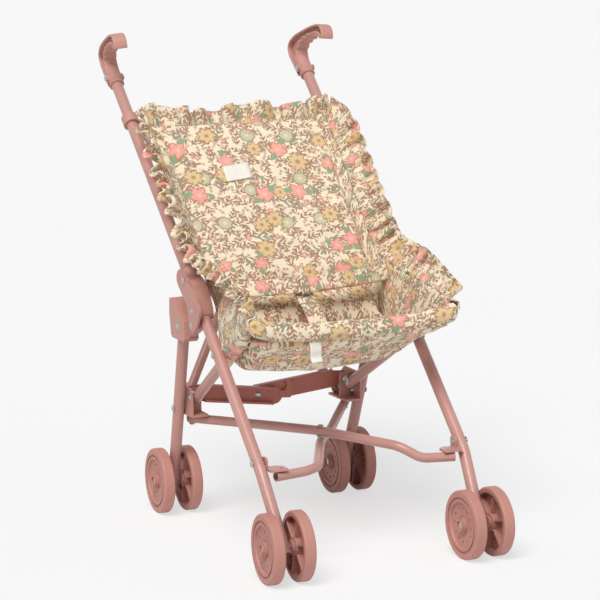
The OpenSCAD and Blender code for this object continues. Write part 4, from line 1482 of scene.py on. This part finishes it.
@dataclass
class HookHandle:
    """Moulded hook handle: oval sleeve with a flared lip, thin web, smooth outer rib and waved finger rib."""

    side: Side
    half_width: float = 0.0080
    rib_thick: float = 0.0030
    web_thick: float = 0.0044
    turn_deg: float = 7.3
    tube_x: float = 0.121
    tube_lean: tuple[float, float, float] = (0.0, 0.753, 0.658)
    over_tube: float = 0.020
    seat_shift: tuple[float, float, float] = (0.0, -0.0043, -0.0049)
    wave_height: float = 0.0013
    wave_pitch: float = 0.0115
    waved: tuple[float, float] = (0.030, 0.072)
    back_rib: tuple = ((0.010, -0.001), (0.020, 0.007), (0.032, 0.0165), (0.0395, 0.024), (0.0422, 0.031),
                       (0.0388, 0.0378), (0.028, 0.045), (0.0115, 0.0513), (-0.008, 0.0573), (-0.024, 0.0608),
                       (-0.033, 0.0603), (-0.0386, 0.056), (-0.0408, 0.050), (-0.0406, 0.046))
    finger_rib: tuple = ((0.001, 0.004), (0.008, 0.0105), (0.015, 0.0175), (0.0195, 0.0245), (0.020, 0.031),
                         (0.0155, 0.0375), (0.0075, 0.0425), (-0.002, 0.0465), (-0.014, 0.0505),
                         (-0.025, 0.0525), (-0.031, 0.0505), (-0.0365, 0.047))

    def __post_init__(self) -> None:
        """Find the sleeve's mouth from the top of the push tube."""
        _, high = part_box(f"push_tube_{self.side.word}")
        self.along = np.array(self.tube_lean)
        self.out = np.array([0.0, self.along[2], -self.along[1]])
        top = np.array([self.tube_x * self.side.value, high[1], high[2]])
        self.base = top - self.along * self.over_tube + np.array(self.seat_shift)

    def rib(self, path: np.ndarray) -> tuple[np.ndarray, list]:
        """Sweep a rounded flat section along a path in the side plane.

        Args:
            path: Depth and height of the rib's middle line.

        Returns:
            Points and faces.
        """
        ring = 24
        step = tangents(path)
        normal = np.stack([-step[:, 1], step[:, 0]], axis=1)
        angle = np.linspace(0, 2 * math.pi, ring, endpoint=False)
        across = np.sign(np.cos(angle)) * np.abs(np.cos(angle)) ** 0.35 * self.half_width
        deep = np.sign(np.sin(angle)) * np.abs(np.sin(angle)) ** 0.55 * self.rib_thick / 2
        count = len(path)
        points = np.empty((count, ring, 3))
        points[..., 0] = across[None, :]
        points[..., 1] = path[:, None, 0] + normal[:, None, 0] * deep[None, :]
        points[..., 2] = path[:, None, 1] + normal[:, None, 1] * deep[None, :]
        faces = grid_faces(count, ring, closed=True)
        faces += [tuple(range(ring)), tuple(reversed(range((count - 1) * ring, count * ring)))]
        return points.reshape(-1, 3), faces

    def web(self, outer: np.ndarray, inner: np.ndarray) -> tuple[np.ndarray, list]:
        """Plate between the two ribs.

        Args:
            outer: Middle line of the outer rib.
            inner: Middle line of the finger rib, with as many points.

        Returns:
            Points and faces.
        """
        count = len(outer)
        half = self.web_thick / 2
        rows = [np.column_stack([np.full(count, x), line]) for x in (-half, half) for line in (outer, inner)]
        points = np.vstack(rows)
        faces = []
        for i in range(count - 1):
            faces.append((i, i + 1, count + i + 1, count + i))
            faces.append((2 * count + i, 3 * count + i, 3 * count + i + 1, 2 * count + i + 1))
        return points, faces

    def sleeve(self) -> tuple[np.ndarray, list]:
        """Oval sleeve round the push tube, with a flared lip at its mouth.

        Returns:
            Points and faces.
        """
        stations = [(0.0, 0.0076, 0.0076), (0.0002, 0.0088, 0.0088), (0.0022, 0.0088, 0.0088),
                    (0.0028, 0.0080, 0.0080), (0.012, 0.0080, 0.0084), (0.024, 0.0078, 0.0092),
                    (0.033, 0.0072, 0.0082), (0.036, 0.004, 0.004)]
        ring = 40
        angle = np.linspace(0, 2 * math.pi, ring, endpoint=False)
        rings = []
        for run, wide, deep in stations:
            shift = self.out * max(deep - wide, 0)
            rings.append(self.along * run + shift + np.outer(np.cos(angle) * wide, [1, 0, 0])
                         + np.outer(np.sin(angle) * deep, self.out))
        faces = grid_faces(len(stations), ring, closed=True)
        last = (len(stations) - 1) * ring
        faces += [tuple(range(ring)), tuple(reversed(range(last, last + ring)))]
        return np.vstack(rings), faces

    def boss(self, sign: int) -> tuple[np.ndarray, list]:
        """Round seat under a rivet head, on one face of the sleeve.

        Args:
            sign: Face of the sleeve, as the sign of X.

        Returns:
            Points and faces.
        """
        count, rivet_up = 32, 0.012
        stations = ((0.0050, 0.0050), (0.0090, 0.0047), (0.0101, 0.0040))
        angle = np.linspace(0, 2 * math.pi, count, endpoint=False)
        ring = np.outer(np.cos(angle), self.along) + np.outer(np.sin(angle), self.out)
        rings = [self.along * rivet_up + ring * r + np.array([sign * x, 0, 0]) for x, r in stations]
        faces = grid_faces(len(stations), count, closed=True)
        last = (len(stations) - 1) * count
        faces += [tuple(range(count)), tuple(reversed(range(last, last + count)))]
        return np.vstack(rings), faces

    def build(self, material: Material) -> Piece:
        """Build the handle and let it stand for the plain one.

        Args:
            material: Its finish.

        Returns:
            The handle.
        """
        count, fade = 110, 0.006
        outer = smooth_path(self.back_rib, count)
        inner = smooth_path(self.finger_rib, count)
        run = run_length(inner)
        first, last = self.waved
        wave = np.sin(2 * math.pi * run / self.wave_pitch) * self.wave_height
        wave *= np.clip((run - first) / fade, 0, 1) * np.clip((last - run) / fade, 0, 1)
        step = tangents(inner)
        inner = inner + np.stack([-step[:, 1], step[:, 0]], axis=1) * wave[:, None]
        points, faces = [], []
        for part, cells in (self.rib(outer), self.rib(inner), self.web(outer, inner), self.sleeve(),
                            self.boss(-1), self.boss(1)):
            start = sum(len(p) for p in points)
            points.append(part)
            faces += [tuple(i + start for i in f) for f in cells]
        place = np.vstack(points)
        turn = Matrix.Rotation(math.radians(self.turn_deg), 3, Vector(self.along))
        place = place @ np.array(turn).T
        place[:, 0] *= self.side.value
        piece = mesh_piece(f"hook_handle_{self.side.word}", place + self.base, faces)
        outwards(piece)
        dress(piece, material)
        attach(piece, f"{self.side.word}_side")
        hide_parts(f"handle_{self.side.word}")
        log.info("hard piece %s: %d faces", piece.name, len(faces))
        return piece


@dataclass
class LockCatch:
    """Moulded catch on the right half of the lock bar, which snaps over the left half of the straight bar."""

    beside_rivet: float = 0.036
    thick: float = 0.0045
    edge: float = 0.0012
    outline: tuple = ((-0.010, -0.007), (0.004, -0.008), (0.009, -0.001), (0.007, 0.010), (0.002, 0.0145),
                      (-0.002, 0.0125), (0.000, 0.006), (-0.003, 0.002), (-0.011, 0.002))

    def build(self, material: Material) -> Piece:
        """Build the catch on the front face of the bar.

        Args:
            material: Its finish.

        Returns:
            The catch.
        """
        low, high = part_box("lock_rivet_front")
        bar_low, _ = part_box("lock_bar_right")
        centre = Vector(((low[0] + high[0]) / 2 + self.beside_rivet, bar_low[1] - self.thick * 0.3,
                         (low[2] + high[2]) / 2 + 0.001))
        count = len(self.outline)
        points = np.array([(x, y, z) for y in (-self.thick / 2, self.thick / 2) for x, z in self.outline])
        faces = [tuple(range(count)), tuple(reversed(range(count, 2 * count)))]
        faces += [(i, (i + 1) % count, count + (i + 1) % count, count + i) for i in range(count)]
        piece = mesh_piece("lock_catch", points + np.array(centre), faces)
        outwards(piece)
        round_off = piece.modifiers.new("round", "BEVEL")
        round_off.width = self.edge
        round_off.segments = 3
        with_modifiers(piece)
        shade_smooth(piece)
        dress(piece, material)
        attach(piece, "lock_right")
        log.info("hard piece %s: %d faces", piece.name, len(piece.data.polygons))
        return piece


# ---- Studio ----


def seen_directly(tree: Tree) -> Socket:
    """Tell rays that show a surface, straight, mirrored or through glass, from those that only carry light.

    Args:
        tree: Tree of a material or world.

    Returns:
        1 for a camera, glossy or transmission ray, and 0 for any other.
    """
    path = add(tree, "ShaderNodeLightPath")
    seen = add(tree, "ShaderNodeMath", [path.outputs["Is Camera Ray"], path.outputs["Is Glossy Ray"]],
               operation="MAXIMUM")
    seen = add(tree, "ShaderNodeMath", [seen.outputs[0], path.outputs["Is Transmission Ray"]],
               operation="MAXIMUM")
    return seen.outputs[0]


@dataclass
class Studio:
    """Camera, lamps, world and pale floor."""

    eye: tuple[float, float, float] = (-1.12967, -2.75304, 0.74739)
    azimuth: float = -0.3960
    elevation: float = 0.1640
    roll: float = -0.0190
    lens: float = 161.07
    shift: tuple[float, float] = (-0.01127, -0.00456)
    floor_colour: str = "#f7f7f7"
    floor_mottle: str = "#f8f8f8"
    floor_half: float = 30.0
    glow_share: float = 0.68
    world_strength: float = 0.25
    key_towards: tuple[float, float, float] = (0.55, 0.62, -1.15)
    key_strength: float = 2.75
    key_spread_deg: float = 34
    fill_towards: tuple[float, float, float] = (-0.8, 0.9, -0.5)
    fill_strength: float = 0.35
    fill_spread_deg: float = 70

    def camera(self) -> None:
        """Place the camera."""
        data = bpy.data.cameras.new("camera")
        data.lens = self.lens
        data.sensor_width = 36
        data.shift_x, data.shift_y = self.shift
        data.clip_end = 100
        data.dof.use_dof = False
        camera = bpy.data.objects.new("camera", data)
        bpy.context.scene.collection.objects.link(camera)
        a, e = self.azimuth, self.elevation
        forward = Vector((-math.sin(a) * math.cos(e), math.cos(a) * math.cos(e), -math.sin(e)))
        right = Vector((math.cos(a), math.sin(a), 0))
        up = right.cross(forward)
        x = right * math.cos(self.roll) + up * math.sin(self.roll)
        y = up * math.cos(self.roll) - right * math.sin(self.roll)
        basis = Matrix((x, y, -forward)).transposed()
        camera.matrix_world = Matrix.Translation(self.eye) @ basis.to_4x4()
        bpy.context.scene.camera = camera

    def floor(self) -> None:
        """Lay the pale floor, which keeps the object's shadow and otherwise glows like the backdrop."""
        material, tree, shader = new_material("matt_white_studio_floor")
        shader.inputs["Roughness"].default_value = 0.9
        shader.inputs["Specular IOR Level"].default_value = 0.1
        place = add(tree, "ShaderNodeTexCoord").outputs["Object"]
        mottle = add(tree, "ShaderNodeTexNoise", {"Vector": place, "Scale": 3.0})
        tone = add(tree, "ShaderNodeMix",
                   {0: mottle.outputs["Fac"], 6: linear(self.floor_colour), 7: linear(self.floor_mottle)},
                   data_type="RGBA")
        tree.links.new(tone.outputs[2], shader.inputs["Base Color"])
        glow = add(tree, "ShaderNodeEmission", [tone.outputs[2], 1.0])
        share = add(tree, "ShaderNodeMath", [seen_directly(tree), self.glow_share], operation="MULTIPLY")
        mixed = add(tree, "ShaderNodeMixShader", [share.outputs[0], shader.outputs[0], glow.outputs[0]])
        out = next(n for n in tree.nodes if n.type == "OUTPUT_MATERIAL")
        tree.links.new(mixed.outputs[0], out.inputs[0])
        half = self.floor_half
        ground = np.array([(-half, -half, 0), (half, -half, 0), (half, half, 0), (-half, half, 0)])
        floor = mesh_piece("studio_floor", ground, [(0, 1, 2, 3)])
        dress(floor, material)

    def world(self) -> None:
        """Light from all round, behind a pale backdrop."""
        world = bpy.data.worlds.new("studio_world")
        bpy.context.scene.world = world
        world.use_nodes = True
        tree = world.node_tree
        tree.nodes.clear()
        even = add(tree, "ShaderNodeBackground", [(1, 1, 1, 1), self.world_strength])
        pale = add(tree, "ShaderNodeBackground", [linear(self.floor_colour), 1.0])
        mixed = add(tree, "ShaderNodeMixShader", [seen_directly(tree), even.outputs[0], pale.outputs[0]])
        add(tree, "ShaderNodeOutputWorld", [mixed.outputs[0]])

    def sun(self, name: str, towards: tuple[float, float, float], strength: float, spread_deg: float) -> None:
        """Add a far lamp.

        Args:
            name: Name of the lamp.
            towards: Direction in which it shines.
            strength: Strength of its light.
            spread_deg: Angle under which it appears, which softens its shadows.
        """
        data = bpy.data.lights.new(name, "SUN")
        data.energy = strength
        data.angle = math.radians(spread_deg)
        lamp = bpy.data.objects.new(name, data)
        bpy.context.scene.collection.objects.link(lamp)
        lamp.rotation_euler = Vector(towards).to_track_quat("-Z", "Y").to_euler()

    def build(self) -> None:
        """Set up the whole studio: a soft key from the front left and a weak, wide fill from the right."""
        bpy.context.scene.view_settings.view_transform = "Standard"
        self.camera()
        self.floor()
        self.world()
        self.sun("key", self.key_towards, self.key_strength, self.key_spread_deg)
        self.sun("fill", self.fill_towards, self.fill_strength, self.fill_spread_deg)


def main() -> None:
    """Build studio, frame finishes, moulded pieces and soft goods in order."""
    logging.basicConfig(level=logging.INFO, format="%(message)s")
    Studio().build()
    finishes = FrameFinish()
    finishes.dress()
    for side in Side:
        HookHandle(side).build(finishes.moulded)
    LockCatch().build(finishes.lock)
    sewing, lines = Sewing(), SeatLines()
    Backrest(sewing, lines).build()
    Seat(sewing, lines).build()
    for side in Side:
        SeatSide(sewing, lines, side).build()
    TopRuffle(sewing, lines).build()
    LapBelt(sewing, lines).build()
    Labels(sewing, lines).build()


if __name__ == "__main__":
    main()
